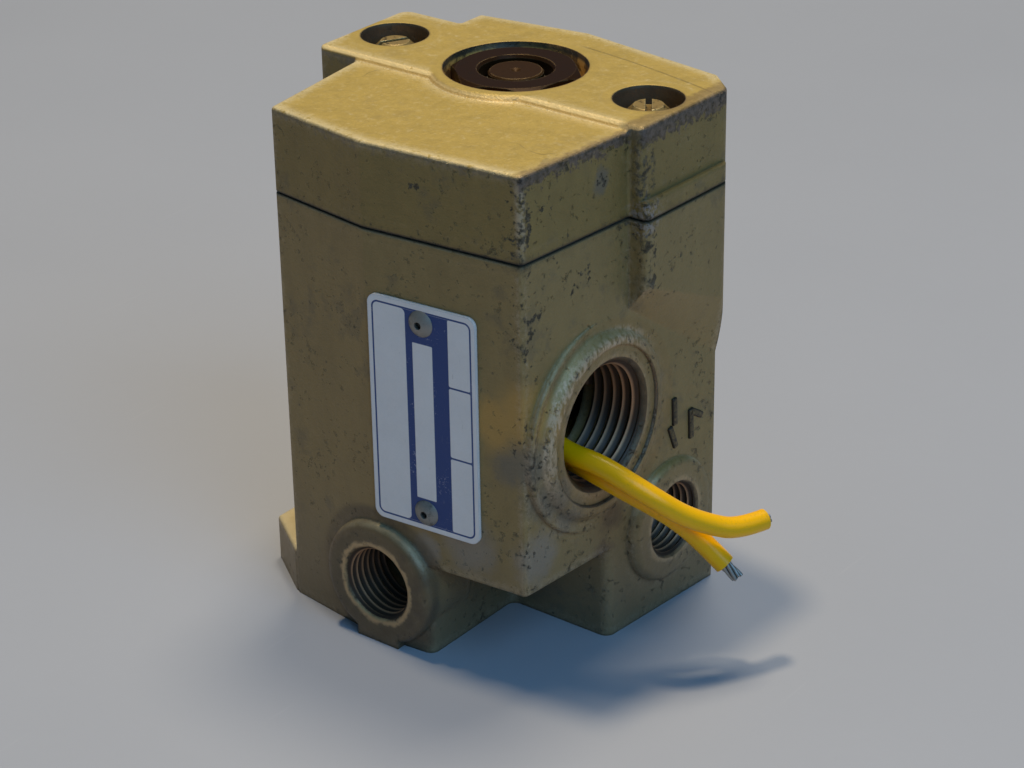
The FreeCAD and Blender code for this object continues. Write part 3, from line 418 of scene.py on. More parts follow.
class CastCoat(Graph):
    """Gold lacquer on a die casting. Each method lays one kind of wear, dirt or painted light over the colour
    so far.
    """

    def __init__(self, settings):
        super().__init__("cast_coat")
        self.settings = settings
        self.high = self.part(self.place, 2)
        self.soft = self.soft_normal(settings.edge_softness / MM)
        self.rise = self.part(self.soft, 2)
        self.ledge = self.fade_mm(abs(self.high - LEDGE_HEIGHT), 1.3, 0.8)
        self.upward = self.fade(self.rise, 0.3, 0.9) * (1.0 - 0.85 * self.ledge)
        self.upright = self.fade(self.rise, 0.8, 0.45)
        self.rightward = self.dot(self.soft, WALL_OUT)
        self.inward = WALL_CORNER.dot(WALL_OUT) - self.dot(self.place, WALL_OUT)
        self.mottle = self.noise(3.2, 4.0, 0.65)
        self.grain = self.noise(0.35, 2.0, 0.7)
        self.speck = self.noise(0.9, 3.0, 0.75)
        self.ragged = self.noise(1.2, 5.0, 0.68)
        self.patchy = self.noise(9, 2.0, 0.5)
        self.hollow = self.crevice(1.8)
        self.rim = self.edges(3.8) * self.fade(self.hollow, 0.35, 0.12)
        self.wobble = 5 * MM * (self.mottle - 0.5)
        # Faces that look up take the top colour and upright faces the side colour: partly painted light from
        # above, partly duller lacquer on the sides.
        self.colour = self.blend(self.upward, settings.side_colour, settings.top_colour)

    def climb(self, low, high, start=0.0, end=1.0):
        """Goes from start to end while the height goes from low to high, in millimetres."""
        return self.fade_mm(self.high, low, high, start, end)

    def around(self, centre, far, near, axis=2):
        """1 within the near distance of a line along an axis, 0 beyond the far one, in millimetres."""
        return self.fade_mm(self.reach(centre, axis), far, near)

    def spots(self, places):
        """1 at the middle of each round place, falling to 0 at its radius in millimetres."""
        found = 0.0
        for middle, radius in places:
            found = self.most(found, self.fade_mm(self.reach(middle), radius, 0.25 * radius))
        return found

    def lacquer(self):
        """The dull cap, the cloudy and streaky tone, the tarnish, and the darker, greyer lower end."""
        cloud = self.noise(14, 3.0, 0.6)
        streak = self.noise(3.5, 3.0, 0.65, self.stretched((1.0, 1.0, 0.25)))
        cap = self.fade(self.high, PARTING, PARTING + 0.5 * MM) * (1.0 - self.upward)
        self.lay(cap * 0.75, self.settings.cap_colour)
        fine = (0.12 + 0.18 * self.upward) * (self.grain + self.speck)
        self.colour = self.shade(self.colour, 0.40 + 0.28 * cloud + 0.34 * self.mottle + 0.30 * streak + fine)
        tarnished = self.fade(self.mottle * cloud, 0.26, 0.40)
        self.lay(tarnished * (0.42 - 0.2 * self.upward), TARNISH)
        # Upright faces grow darker and greyer towards the bottom.
        self.lay(self.climb(30, 3) * (1.0 - self.upward) * 0.4, LOWER_DARK_GREY)

    def stains(self):
        """Cloudy stains with uneven outlines."""
        for places, strength, tint in STAINS:
            stain = 0.0
            for middle, radius in places:
                cloudy = self.fade_mm(self.reach(middle) + self.wobble, radius, 0.3 * radius)
                stain = self.most(stain, cloudy)
            self.lay(stain * strength, tint)

    def hairlines(self):
        """A painted shade line along the faint crease at the rear of the top, and fine scratches in two
        places.
        """
        x = self.part(self.place, 0) / MM - CREASE_START
        bend = 13.5 - 0.1 * x - 0.0031 * x * x
        aside = abs(self.part(self.place, 1) / MM - bend)
        # The crease is a faint facet edge on the casting; its dark line is painted shade.
        crease = self.fade(aside, 0.3, 0.08) * self.fade(x, -1.0, 1.0)
        crease = crease * self.climb(CAP_TOP - 0.25, CAP_TOP - 0.05)
        vein = abs(self.noise(9, 1.0, 0.5) - 0.5)
        hair = self.fade(vein, 0.007, 0.002) * self.spots(SCRATCHED) * self.upward
        lines = self.most(crease * 0.45, hair * 0.75) * self.fade(self.speck, 0.3, 0.5)
        self.lay(lines, SCRATCH_DIRT_AND_CREASE_SHADE)

    def polish_and_highlights(self):
        """Bright edges round the top, rubbed and partly painted highlight, a painted highlight along its
        step, a dirty right edge, and the foot's top, rubbed and partly painted highlight.
        """
        # Rubbed bare edges of the top, which also carry a painted highlight along their rounding.
        polish_and_highlight = self.fade(self.rim + 0.12 * (self.ragged - 0.5), 0.0, 0.06)
        polish_and_highlight = polish_and_highlight * self.fade(self.rise, 0.3, 0.6) * (1.0 - self.ledge)
        beside = self.around(NUT_AXIS, NUT_RECESS + 2.5, NUT_RECESS + 1.5)
        for recess in SCREW_RECESSES:
            beside = self.most(beside, self.around(recess, SCREW_RECESS + 2.2, SCREW_RECESS + 1.4))
        right_edge = self.fade_mm(self.inward, 2.6, 1.2)
        polish_and_highlight = polish_and_highlight * (1.0 - beside) * (1.0 - 0.6 * right_edge) * self.fade(self.speck, 0.30, 0.46)
        self.lay(polish_and_highlight * 0.85, self.settings.polish_and_highlight_colour)
        # Painted highlight: the sloping step is painted gold as if lit from above, and its crest a paler
        # cream.
        self.step = self.climb(CAP_FRONT_TOP + 0.02, CAP_FRONT_TOP + 0.1) * self.fade(self.rise, 0.97, 0.86)
        self.step = self.step * (1.0 - beside) * (1.0 - right_edge)
        self.lay(self.step * 0.9, STEP_HIGHLIGHT_GOLD)
        crest = self.step * self.climb(CAP_FRONT_TOP + 0.3, CAP_FRONT_TOP + 0.55)
        self.lay(crest * self.fade(self.speck, 0.25, 0.42), CREST_HIGHLIGHT)
        uneven = 2.4 * MM * (self.ragged - 0.5) + 1.6 * MM * (self.mottle - 0.5)
        edge_dirt = self.fade_mm(self.inward - uneven, 1.5, 0.5)
        self.lay(edge_dirt * self.upward * 0.65, self.blend(self.speck, *EDGE_DIRT))
        # The foot's top is painted paler: partly rubbed lacquer, partly a painted highlight where it faces
        # the light.
        self.lay(self.climb(FOOT_TOP + 1.0, FOOT_TOP - 1.0) * self.upward * 0.55, self.settings.polish_and_highlight_colour)

    def bare_places(self):
        """Where the lacquer has come off: edges, corners, knocks, pits, and the ridge round the conduit.
        Painted highlights brighten the ridge's lit side and the near corner, and a painted shadow darkens the
        step of the conduit's face.
        """
        corner = self.around(WALL_CORNER, 3.6, 1.0) * self.climb(34, 80, 0.35, 1.0)
        ear = self.around(EAR_CORNER, 2.8, 0.8) * self.climb(52, 60)
        rubbed = self.most(self.most(corner, ear) * self.upright, self.spots(KNOCKS))
        self.ground = self.ragged + 0.3 * (self.patchy - 0.5)
        left = self.fade(self.rightward, 0.75, 0.35)
        loss = self.ground + 0.125 * rubbed + 0.4 * self.rim * self.upright - 0.13 * self.upward - 0.03 * left
        chips = self.fade(loss, 0.672, 0.71)
        dots = self.fade(self.cells(3.6), 0.085, 0.05) * self.fade(self.patchy, 0.42, 0.52)
        dots = dots * self.upright
        in_groove = self.around(EAR_CORNER, 2.8, 1.2) * self.climb(71, 75)
        in_groove = in_groove * self.upright * self.fade(self.ragged + 0.4 * (self.speck - 0.5), 0.50, 0.56)
        self.chips = self.most(chips, self.most(dots * 0.8, in_groove * 0.9))

        ring = self.reach(CONDUIT, 0)
        out = self.part(self.place, 0)
        on_boss = self.fade_mm(out, 29.0, 29.6)
        from_boss = self.vector("SUBTRACT", self.place, CONDUIT)
        lit_side = self.dot(from_boss, LIT_SIDE)
        scratch = self.noise(0.6, 4.0, 0.7, self.stretched((1.0, 1.0, 0.35), (0.6, 0.0, 0.0)))
        # The ridge round the conduit: scratched bare metal, brighter on the side towards the light, which is
        # a painted highlight.
        self.ridge = self.fade_mm(ring, 16.4, 15.2) * self.fade_mm(ring, 12.6, 13.6) * on_boss
        self.ridge = self.ridge * self.fade_mm(lit_side, -1, 11, 0.10, 1.0)
        self.ridge = self.ridge * self.fade(scratch + 0.5 * (self.ragged - 0.5), 0.40, 0.58)
        # Painted shadow: a thin dark line where the machined face of the conduit steps down, on the side away
        # from the light.
        face_step_shadow = self.fade_mm(abs(ring - CONDUIT_FACE), 0.28, 0.1) * self.fade_mm(lit_side, 6, -4)
        self.lay(face_step_shadow * on_boss * 0.8, self.settings.dirt_and_shade_colour)

        # Painted highlight: a pale line down the rounded near corner of the cap.
        pale = 0.6 * self.around(WALL_CORNER, 1.3, 0.5) * self.climb(70, 78)
        pale = pale * self.fade(self.speck, 0.40, 0.54)
        parting = self.fade_mm(abs(self.high - PARTING), 2.2, 1.4)
        # Rubbed bare edges of the upright faces, which also carry a painted highlight along their rounding.
        wear_and_highlight = self.fade(self.rim + 0.6 * (self.speck - 0.5), 0.12, 0.26)
        wear_and_highlight = wear_and_highlight * (1.0 - parting) * (1.0 - 0.7 * self.ledge)
        self.wear_and_highlight = self.most(wear_and_highlight * 0.8, pale) * self.upright * self.settings.wear * (1.0 - self.step)
        self.lay(self.wear_and_highlight, self.settings.worn_colour)
        self.lay(self.ridge * self.upright * self.settings.wear, RIDGE_METAL_AND_HIGHLIGHT)
        boss = self.fade_mm(ring, 17.6, 16.8) * self.fade_mm(out, 29.0, 29.4)
        self.colour = self.multiply(boss, self.colour, BOSS_WARMTH)

        bared = self.blend(self.fade(self.speck, 0.48, 0.6), self.settings.chip_colour, CHIP_SPECKS)
        bared = self.blend(self.upward, bared, TOP_CHIP)
        self.lay(self.chips * (0.85 - 0.45 * self.upward), bared)
        dust = self.fade_mm(self.reach(EAR_FOOT) + self.wobble, 4.0, 1.5) * self.fade(self.speck, 0.46, 0.58)
        self.lay(dust * 0.5, PALE_DUST)

    def bands(self):
        """The ragged dark band under the top's edge, strong on the right side and weak on the front."""
        foot = BAND_FOOT + 8 * MM * (self.ragged - 0.5) + 3 * MM * (self.mottle - 0.5)
        above = self.high - foot
        band = self.fade_mm(above, -0.3, 0.5) * self.fade(self.rightward, 0.35, 0.6)
        self.lay(band * 0.8, self.blend(self.fade(self.speck, 0.38, 0.62), *DARK_BAND))
        front = self.fade_mm(above, 0.6, 1.6) * self.upright * (1.0 - self.fade(self.rise, 0.4, 0.7))
        self.lay(front * 0.4, DULL_BAND)

    def dirt(self):
        """Dirt and painted shade in corners, a dark line along the parting, oily dark on the inlet's boss, a
        painted lit gold wall and a painted shaded rim in the nut's recess, and the tone of the screw
        recesses.
        """
        # Darkest where the surface is most hidden: partly dirt, partly painted shade.
        self.grime_and_shade = self.fade(self.hollow, 0.38, 0.9)
        self.lay(self.grime_and_shade * (0.4 + 0.5 * self.speck), self.settings.dirt_and_shade_colour)
        self.lay(self.fade_mm(abs(self.high - PARTING), 0.55, 0.25) * 0.75, self.settings.dirt_and_shade_colour)
        boss = self.around(INLET, 14.0, 12.5, 1) * self.fade_mm(self.part(self.place, 1), -34.5, -36.5)
        self.lay(boss * (0.35 + 0.6 * self.mottle), OILY)
        self.centre = self.around(NUT_AXIS, NUT_RECESS + 0.15, NUT_RECESS + 0.05)
        # Painted light: the wall of the nut's recess is painted a bright gold, as if lit from above.
        wall = self.blend(self.fade(self.mottle, 0.42, 0.56), *RECESS_WALL_LIT)
        self.lay(self.centre * self.climb(NUT_FLOOR, NUT_FLOOR + 1.0) * 0.9, wall)
        # Painted shade: a dark band round the top of the nut recess's wall.
        self.lay(self.centre * self.climb(CAP_TOP - 1.25, CAP_TOP - 0.65) * 0.85, RECESS_RIM_SHADE)
        for recess in SCREW_RECESSES:
            pocket = self.around(recess, SCREW_RECESS + 0.15, SCREW_RECESS + 0.02)
            self.lay(pocket * self.climb(SCREW_FLOOR, SCREW_FLOOR + 1.0) * 0.85, POCKET)

    def bores(self):
        """Bare cut metal in the ports and the conduit entry, with cream lips that are partly rubbed and
        partly painted highlight.
        """
        inside = 0.0
        lip = 0.0
        for origin, axis, radius, cream in BORES:
            mask, depth = bore_mask(self, origin, axis, radius, 0.05 * MM)
            inside = self.most(inside, mask * (1.0 - 0.55 * self.fade_mm(depth, 1, 9)))
            uneven = 2.4 * MM * (self.mottle - 0.5)
            # A cream band round each mouth: rubbed lip and painted highlight.
            band = self.fade_mm(abs(self.reach(origin, axis) - radius - 0.2 * MM + uneven), 0.8, 0.1)
            lip = self.most(lip, cream * band * self.fade_mm(depth, 2.2, 1.0))
        self.lay(inside, self.blend(self.noise(2.0, 3.0), *CUT_METAL))
        self.lay(lip, CREAM)

    def finish(self):
        """Works out the gloss and the relief, and ends the graph."""
        roughness = 0.40 + 0.12 * self.mottle - 0.06 * self.wear_and_highlight + 0.22 * self.grime_and_shade + 0.14 * self.chips
        metallic = 0.30 + 0.35 * self.wear_and_highlight - 0.15 * self.ridge - 0.2 * self.chips - 0.2 * self.grime_and_shade
        pits = self.fade(self.ground, 0.62, 0.68) * (1.0 - self.upward)
        relief = 1.1 * self.grain + 1.6 * self.speck + 1.8 * self.mottle - 3.0 * pits
        # The shading normal of the nut recess's wall is tilted up a little, as if the wall leant back, and so
        # the wall catches the light from above
        lean = self.node("VectorMath", {"operation": "SCALE"}, {0: (0.0, 0.0, 1.0), 3: 0.7 * self.centre})
        leaning = self.vector("ADD", self.soft, lean)
        bump = self.relief(relief, 0.05, self.vector("NORMALIZE", leaning))
        return self.surface(Roughness=roughness, Metallic=metallic, Normal=bump)


def cast_coat(settings):
    """Gold lacquer on a die casting: rubbed bright along its edges, knocked, stained and grimy, with painted
    highlights and painted shade.
    """
    coat = CastCoat(settings)
    for layer in (coat.lacquer, coat.stains, coat.hairlines, coat.polish_and_highlights,
                  coat.bare_places, coat.bands, coat.dirt, coat.bores):
        layer()
    return coat.finish()


def metal(name, colour, rough, shine=1.0, stain=(0.08, 0.06, 0.04), grime_and_shade=0.4, streak=0.08,
          softness=0.12, wear=None, gloss=0.5, patch=2.5):
    """Turned or rolled metal: fine streaks, cloudy stains, corners darkened by dirt and painted shade, and
    rounded edges.

    A streak of 1 leaves the streaks as short as they are wide. A patch is the size of the stains.
    """
    graph = Graph(name)
    streaks = graph.noise(0.25, 3.0, 0.6, graph.stretched((1.0, 1.0, streak)))
    cloud = graph.noise(patch, 5.0, 0.65)
    fine = graph.noise(0.3, 4.0, 0.7)
    hollow = graph.fade(graph.crevice(1.2), 0.3, 0.9)
    graph.colour = graph.shade(colour, 0.75 + 0.22 * streaks + 0.25 * cloud)
    if wear is not None:
        graph.lay(graph.fade(graph.edges(0.3), 0.01, 0.14) * graph.fade(cloud, 0.35, 0.6), wear)
    graph.lay(grime_and_shade * graph.fade(cloud, 0.52, 0.68), stain)
    # The stain tint darkens the corners as well: dirt and painted shade.
    graph.lay(hollow * grime_and_shade * 1.4, stain)
    roughness = rough + 0.14 * cloud + 0.08 * fine + 0.25 * hollow
    bump = graph.relief(streaks + 1.5 * fine + cloud, 0.006, graph.soft_normal(softness))
    return graph.surface(Roughness=roughness, Metallic=shine, Specular_IOR_Level=gloss, Normal=bump)


def soft_black(name, colour, rough):
    """Rubber or resin: even and dark, with a dusty bloom."""
    graph = Graph(name)
    cloud = graph.noise(2.2, 5.0, 0.65)
    fine = graph.noise(0.25, 4.0, 0.7)
    graph.colour = graph.shade(colour, 0.7 + 0.5 * cloud)
    graph.lay(graph.fade(cloud * fine, 0.26, 0.42) * 0.4, (0.16, 0.15, 0.14))
    bump = graph.relief(fine + cloud, 0.012, graph.soft_normal(0.1))
    return graph.surface(Roughness=rough + 0.2 * fine, Normal=bump)


def printed_plate(settings):
    """White plate with blue print: a thin frame, and a blue field that leaves bare boxes."""
    graph = Graph("printed_plate")
    across = graph.dot(graph.place, FACE_RUN) - PLATE_MIDDLE.dot(FACE_RUN)
    up = graph.part(graph.place, 2) - PLATE_MIDDLE.z

    def panel(left, right, low, high, corner):
        """1 inside a rounded rectangle, in millimetres from the middle of the plate."""
        half_width = (right - left) / 2 * MM
        half_height = (high - low) / 2 * MM
        x = abs(across - (left + right) / 2 * MM)
        y = abs(up - (low + high) / 2 * MM)
        x = graph.most(x - (half_width - corner * MM), 0.0)
        y = graph.most(y - (half_height - corner * MM), 0.0)
        away = (x * x + y * y) ** 0.5
        return graph.fade(away, (corner + 0.05) * MM, (corner - 0.05) * MM)

    field = panel(*PRINTED_FIELD)
    bare = 0.0
    for box in BARE_BOXES:
        bare = graph.most(bare, panel(*box))
    ink = graph.most(panel(*PRINTED_FRAME) * (1.0 - field), field * (1.0 - bare))

    cloud = graph.noise(5, 4.0, 0.6)
    fine = graph.noise(0.4, 5.0, 0.7)
    streaks = graph.noise(0.5, 4.0, 0.7, graph.stretched((1.0, 1.0, 0.12), (0.5, 0.3, 0.0)))
    scratch = graph.fade(streaks, 0.66, 0.72)
    scuff = graph.fade(cloud * fine, 0.34, 0.42) * settings.scuffs
    graph.colour = graph.shade(settings.white, 0.86 + 0.16 * cloud + 0.1 * fine)
    graph.lay(ink * (1.0 - 0.5 * scuff), settings.blue)
    graph.lay(scratch * 0.4, (0.45, 0.44, 0.43))
    # Painted highlight: pale edges all round the plate.
    rim = graph.fade(graph.edges(0.35), 0.02, 0.2)
    graph.lay(rim * 0.6, (0.62, 0.62, 0.64))
    # Dark in the corners: dirt and painted shade.
    grime_and_shade = graph.fade(graph.crevice(0.9), 0.35, 0.85)
    graph.lay(grime_and_shade * 0.8, (0.045, 0.038, 0.03))
    spots = graph.fade(graph.noise(0.8, 5.0, 0.8), 0.70, 0.74)
    graph.lay(spots * 0.7, (0.06, 0.05, 0.04))
    bump = graph.relief(cloud * 2.0 + fine * 0.4 - ink * 0.25, 0.05, graph.soft_normal(0.2))
    return graph.surface(Roughness=0.32 + 0.16 * cloud + 0.1 * fine, Metallic=0.04 + 0.5 * scratch,
                         Normal=bump)


def insulation(settings):
    """Glossy yellow insulation, handled and a little dirty."""
    graph = Graph("lead_insulation")
    cloud = graph.noise(6, 4.0, 0.6)
    fine = graph.noise(0.5, 4.0, 0.7)
    graph.colour = graph.shade(settings.colour, 0.86 + 0.18 * cloud + 0.08 * fine)
    graph.lay(graph.fade(cloud * fine, 0.28, 0.42) * 0.25, (0.30, 0.20, 0.02))
    spots = graph.fade(graph.noise(0.7, 5.0, 0.8), 0.70, 0.73)
    graph.lay(spots * 0.6, (0.12, 0.07, 0.01))
    bump = graph.relief(fine + cloud * 2.0, 0.02)
    return graph.surface(Roughness=0.22 + 0.16 * fine, Specular_IOR_Level=0.35, Normal=bump)


def thread_metal(settings):
    """Threads cut in the casting: bright on their tips, and darker further in and at their roots, by old oil
    and painted shade.
    """
    graph = Graph("thread_metal")
    cloud = graph.noise(1.6, 5.0, 0.65)
    fine = graph.noise(0.2, 4.0, 0.7)
    hollow = graph.fade(graph.crevice(0.9), 0.22, 0.62)
    deep = 0.0
    valley_shade = 0.0
    ports = (settings.port_crest, settings.port_root)
    for origin, axis, sizes in ((INLET, 1, ports), (OUTLET, 0, ports), (EXHAUST, 1, ports),
                                (CONDUIT, 0, (settings.conduit_crest, settings.conduit_root))):
        crest, root = sizes
        mask, depth = bore_mask(graph, origin, axis, root + 0.6 * MM, 0.05 * MM)
        deep = graph.most(deep, mask * graph.fade_mm(depth, 1.5, 9))
        height = root - crest
        out = graph.fade(graph.reach(origin, axis), crest + 0.08 * height, crest + 0.5 * height)
        valley_shade = graph.most(valley_shade, mask * out)
    graph.colour = graph.shade(settings.metal_colour, 0.75 + 0.4 * cloud + 0.25 * fine)
    # Darker deeper in the bore and at the roots of the thread: partly old oil, partly painted shade.
    graph.lay(0.05 + 0.6 * deep, (0.035, 0.022, 0.014))
    graph.lay(graph.most(hollow * 0.7, valley_shade * 0.93), (0.022, 0.014, 0.009))
    bump = graph.relief(fine * 1.5 + cloud, 0.012, graph.soft_normal(0.12))
    return graph.surface(Roughness=0.38 + 0.2 * cloud, Metallic=0.45, Normal=bump)


def mark_finish(coat, settings):
    """The lacquer on the flow marks: darker than the wall, and darker still at their foot, by dirt and
    painted shade.
    """
    graph = Graph("mark_lacquer")
    proud = graph.dot(graph.place, WALL_OUT) - WALL_CORNER.dot(WALL_OUT)
    fine = graph.noise(0.5, 4.0, 0.7)
    graph.colour = graph.shade(coat.side_colour, 0.45 + 0.6 * fine)
    uneven = proud + 0.25 * MM * (fine - 0.5)
    # Painted shade and dirt along the foot of each mark.
    graph.lay(graph.fade(uneven, 1.25 * settings.height, 0.85 * settings.height), (0.03, 0.02, 0.012))
    bump = graph.relief(fine, 0.05, graph.soft_normal(0.2))
    return graph.surface(Roughness=0.45 + 0.1 * fine, Metallic=0.3, Normal=bump)


def finishes(scene):
    """One material for each material slot of the record."""
    leads = scene.valve_leads
    blackened = {"rough": 0.30, "shine": 0.2, "stain": (0.018, 0.010, 0.005), "grime_and_shade": 0.5, "streak": 1.0,
                 "gloss": 0.08}
    metals = {
        "black_steel": dict(blackened, colour=(0.027, 0.011, 0.003), softness=0.25, wear=(0.24, 0.15, 0.07)),
        # The pale rubbed edges of the button and of the screw heads are partly wear and partly painted
        # glints.
        "button_steel": dict(blackened, colour=(0.042, 0.018, 0.004), softness=0.3, wear=(0.36, 0.24, 0.12)),
        "yellow_plated_steel": {"colour": (0.44, 0.29, 0.10), "rough": 0.30, "shine": 0.6, "grime_and_shade": 0.97,
                                "stain": (0.03, 0.017, 0.006), "streak": 1.0, "softness": 0.2,
                                "wear": (0.95, 0.76, 0.40), "patch": 1.1},
        "plated_steel": {"colour": (0.36, 0.34, 0.30), "rough": 0.38, "grime_and_shade": 0.8},
        "steel": {"colour": (0.20, 0.185, 0.17), "rough": 0.46, "grime_and_shade": 0.9},
        "spring_steel": {"colour": (0.42, 0.42, 0.43), "rough": 0.24},
        "copper": {"colour": (0.72, 0.36, 0.22), "rough": 0.28},
        "brass": {"colour": (0.70, 0.50, 0.20), "rough": 0.26},
        "tinned_copper": {"colour": leads.strand_colour, "rough": 0.35, "shine": 0.8, "grime_and_shade": 0.6,
                          "stain": (0.06, 0.04, 0.03)},
        "rivet": {"colour": (0.30, 0.275, 0.24), "rough": 0.38, "shine": 0.6, "grime_and_shade": 0.6,
                  "stain": (0.05, 0.04, 0.03), "streak": 1.0},
    }
    made = {name: metal(name, **settings) for name, settings in metals.items()}
    made["housing"] = cast_coat(scene.valve_coat)
    made["gasket"] = soft_black("gasket", (0.02, 0.018, 0.016), 0.7)
    made["rubber"] = soft_black("rubber", (0.022, 0.021, 0.02), 0.5)
    made["coil_resin"] = soft_black("coil_resin", (0.03, 0.022, 0.017), 0.45)
    made["printed_plate"] = printed_plate(scene.valve_plate)
    made["lead_insulation"] = insulation(leads)
    return made


# Help for modelling

def only(piece):
    """Deselects everything but the piece, and makes it the active one."""
    bpy.ops.object.select_all(action="DESELECT")
    piece.select_set(True)
    bpy.context.view_layer.objects.active = piece
    return piece


def added(name):
    """The primitive that was just added, under its name."""
    piece = bpy.context.object
    piece.name = name
    piece.data.name = name
    return only(piece)


def modified(piece, kind, **settings):
    """Adds a modifier, makes its settings and applies it."""
    only(piece)
    modifier = piece.modifiers.new(kind.title(), kind)
    for name, value in settings.items():
        setattr(modifier, name, value)
    bpy.ops.object.modifier_apply(modifier=modifier.name)
    return piece


def joined(name, pieces):
    """Makes one piece of several."""
    only(pieces[0])
    for piece in pieces[1:]:
        piece.select_set(True)
    bpy.ops.object.join()
    return added(name)


def placed(piece, matrix):
    """Moves a piece that was modelled at the origin, and puts its place in its mesh."""
    only(piece)
    piece.matrix_world = matrix @ piece.matrix_world
    bpy.ops.object.transform_apply(location=True, rotation=True, scale=True)
    return piece


def mended(piece, sides=8):
    """Closes the open ends and turns the faces outwards."""
    only(piece)
    bpy.ops.object.mode_set(mode="EDIT")
    bpy.ops.mesh.select_all(action="SELECT")
    bpy.ops.mesh.remove_doubles(threshold=0.001 * MM)
    bpy.ops.mesh.fill_holes(sides=sides)
    bpy.ops.mesh.select_all(action="SELECT")
    bpy.ops.mesh.normals_make_consistent(inside=False)
    bpy.ops.object.mode_set(mode="OBJECT")
    return piece


def dressed(piece, material, body="housing", angle=40.0):
    """Gives a finished piece its material, its smooth faces and the body that it rides on."""
    only(piece)
    piece.data.materials.clear()
    piece.data.materials.append(material)
    if piece.type == "MESH":
        bpy.ops.object.shade_smooth_by_angle(angle=math.radians(angle))
    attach(piece, body)
    return piece


def finish_of(node):
    """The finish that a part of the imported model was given."""
    return frame["nodes"][node].active_material


def facing(origin, direction):
    """The matrix that turns +Z to the direction and moves the origin there."""
    return Matrix.Translation(origin) @ direction.to_track_quat("Z", "Y").to_matrix().to_4x4()


# The pieces

class VALVE_OT_finishes(bpy.types.Operator):
    """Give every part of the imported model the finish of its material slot"""
    bl_idname = "valve.finishes"
    bl_label = "Finishes"

    def execute(self, context):
        made = finishes(context.scene)
        for part in frame["record"]["subparts"]:
            node = frame["nodes"][part["node"]]
            node.data.materials.clear()
            node.data.materials.append(made[part["material_slot"]])
        return {"FINISHED"}


class VALVE_OT_threads(bpy.types.Operator):
    """Cut the threads of the three ports and the conduit entry"""
    bl_idname = "valve.threads"
    bl_label = "Threads"

    # Steps in one turn of a ridge, and the width of its foot as a share of the pitch
    steps = 72
    foot = 0.97

    def execute(self, context):
        settings = context.scene.valve_threads
        material = thread_metal(settings)
        port = (settings.port_root, settings.port_crest, settings.port_pitch, settings.port_depth, PORT_MOUTH)
        conduit = (settings.conduit_root, settings.conduit_crest, settings.conduit_pitch,
                   settings.conduit_depth, CONDUIT_MOUTH)
        for name, origin, direction, sizes in (
            ("inlet_thread", INLET, Vector((0.0, -1.0, 0.0)), port),
            ("outlet_thread", OUTLET, Vector((1.0, 0.0, 0.0)), port),
            ("exhaust_thread", EXHAUST, Vector((0.0, 1.0, 0.0)), port),
            ("conduit_thread", CONDUIT, Vector((1.0, 0.0, 0.0)), conduit),
        ):
            ridge = self.ridge(name, *sizes)
            placed(ridge, facing(origin, direction))
            dressed(ridge, material, angle=25.0)
        return {"FINISHED"}

    def ridge(self, name, root, crest, pitch, depth, mouth):
        """A right-handed ridge in a bore about Z, trimmed by the cone of the mouth at Z = 0."""
        turns = math.ceil(depth / pitch) + 1
        size = 1 * MM
        bpy.ops.mesh.primitive_circle_add(vertices=3, radius=size, fill_type="NOTHING")
        ridge = added(name)
        ridge.scale = (self.foot * pitch / (math.sqrt(3) * size), (root - crest) / (1.5 * size), 1.0)
        bpy.ops.object.transform_apply(location=False, rotation=False, scale=True)
        tip = max(vertex.co.y for vertex in ridge.data.vertices)
        turn = Matrix(((0, -1, 0, crest + tip), (0, 0, -1, 0), (1, 0, 0, -depth), (0, 0, 0, 1)))
        placed(ridge, turn)
        modified(ridge, "SCREW", axis="Z", angle=2 * math.pi, screw_offset=pitch, iterations=turns,
                 steps=self.steps, render_steps=self.steps, use_merge_vertices=False)
        mended(ridge, 3)
        far = mouth + 4 * pitch
        bpy.ops.mesh.primitive_cone_add(vertices=2 * self.steps, radius1=0.0, radius2=far, depth=far,
                                        location=(0, 0, far / 2 - mouth))
        cone = added("mouth_cone")
        modified(ridge, "BOOLEAN", operation="DIFFERENCE", solver="EXACT", object=cone)
        bpy.data.objects.remove(cone)
        return ridge


class VALVE_OT_flow_marks(bpy.types.Operator):
    """Raise the two cast flow marks on the right side"""
    bl_idname = "valve.flow_marks"
    bl_label = "Flow marks"

    # Strokes as seen on the wall: distance along it from its front corner, and height, in millimetres
    strokes = (
        ((35.55, 37.1), (35.75, 32.6)),
        ((34.6, 32.2), (36.0, 28.5)),
        ((39.75, 33.6), (39.95, 28.6)),
        ((39.9, 33.4), (42.5, 31.7)),
    )

    def execute(self, context):
        settings = context.scene.valve_marks
        bars = []
        for start, end in self.strokes:
            run = (Vector(end) - Vector(start)) * MM
            middle = (Vector(end) + Vector(start)) / 2 * MM
            bpy.ops.mesh.primitive_cube_add(size=1.0)
            bar = added("flow_mark")
            bar.scale = (2 * settings.height, settings.stroke, run.length + settings.stroke * 0.4)
            bpy.ops.object.transform_apply(location=False, rotation=False, scale=True)
            modified(bar, "BEVEL", width=0.25 * MM, segments=3, limit_method="ANGLE")
            tilt = math.atan2(run.x, run.y) if run.y > 0 else math.atan2(-run.x, -run.y)
            bar.matrix_world = Matrix.Translation((0, middle.x, middle.y)) @ Matrix.Rotation(-tilt, 4, "X")
            bpy.ops.object.transform_apply(location=True, rotation=True, scale=True)
            bars.append(bar)
        marks = joined("flow_marks", bars)
        wall = Matrix((WALL_OUT, WALL_RUN, UP)).transposed().to_4x4()
        placed(marks, Matrix.Translation(WALL_CORNER) @ wall)
        dressed(marks, mark_finish(context.scene.valve_coat, settings), angle=50.0)
        return {"FINISHED"}


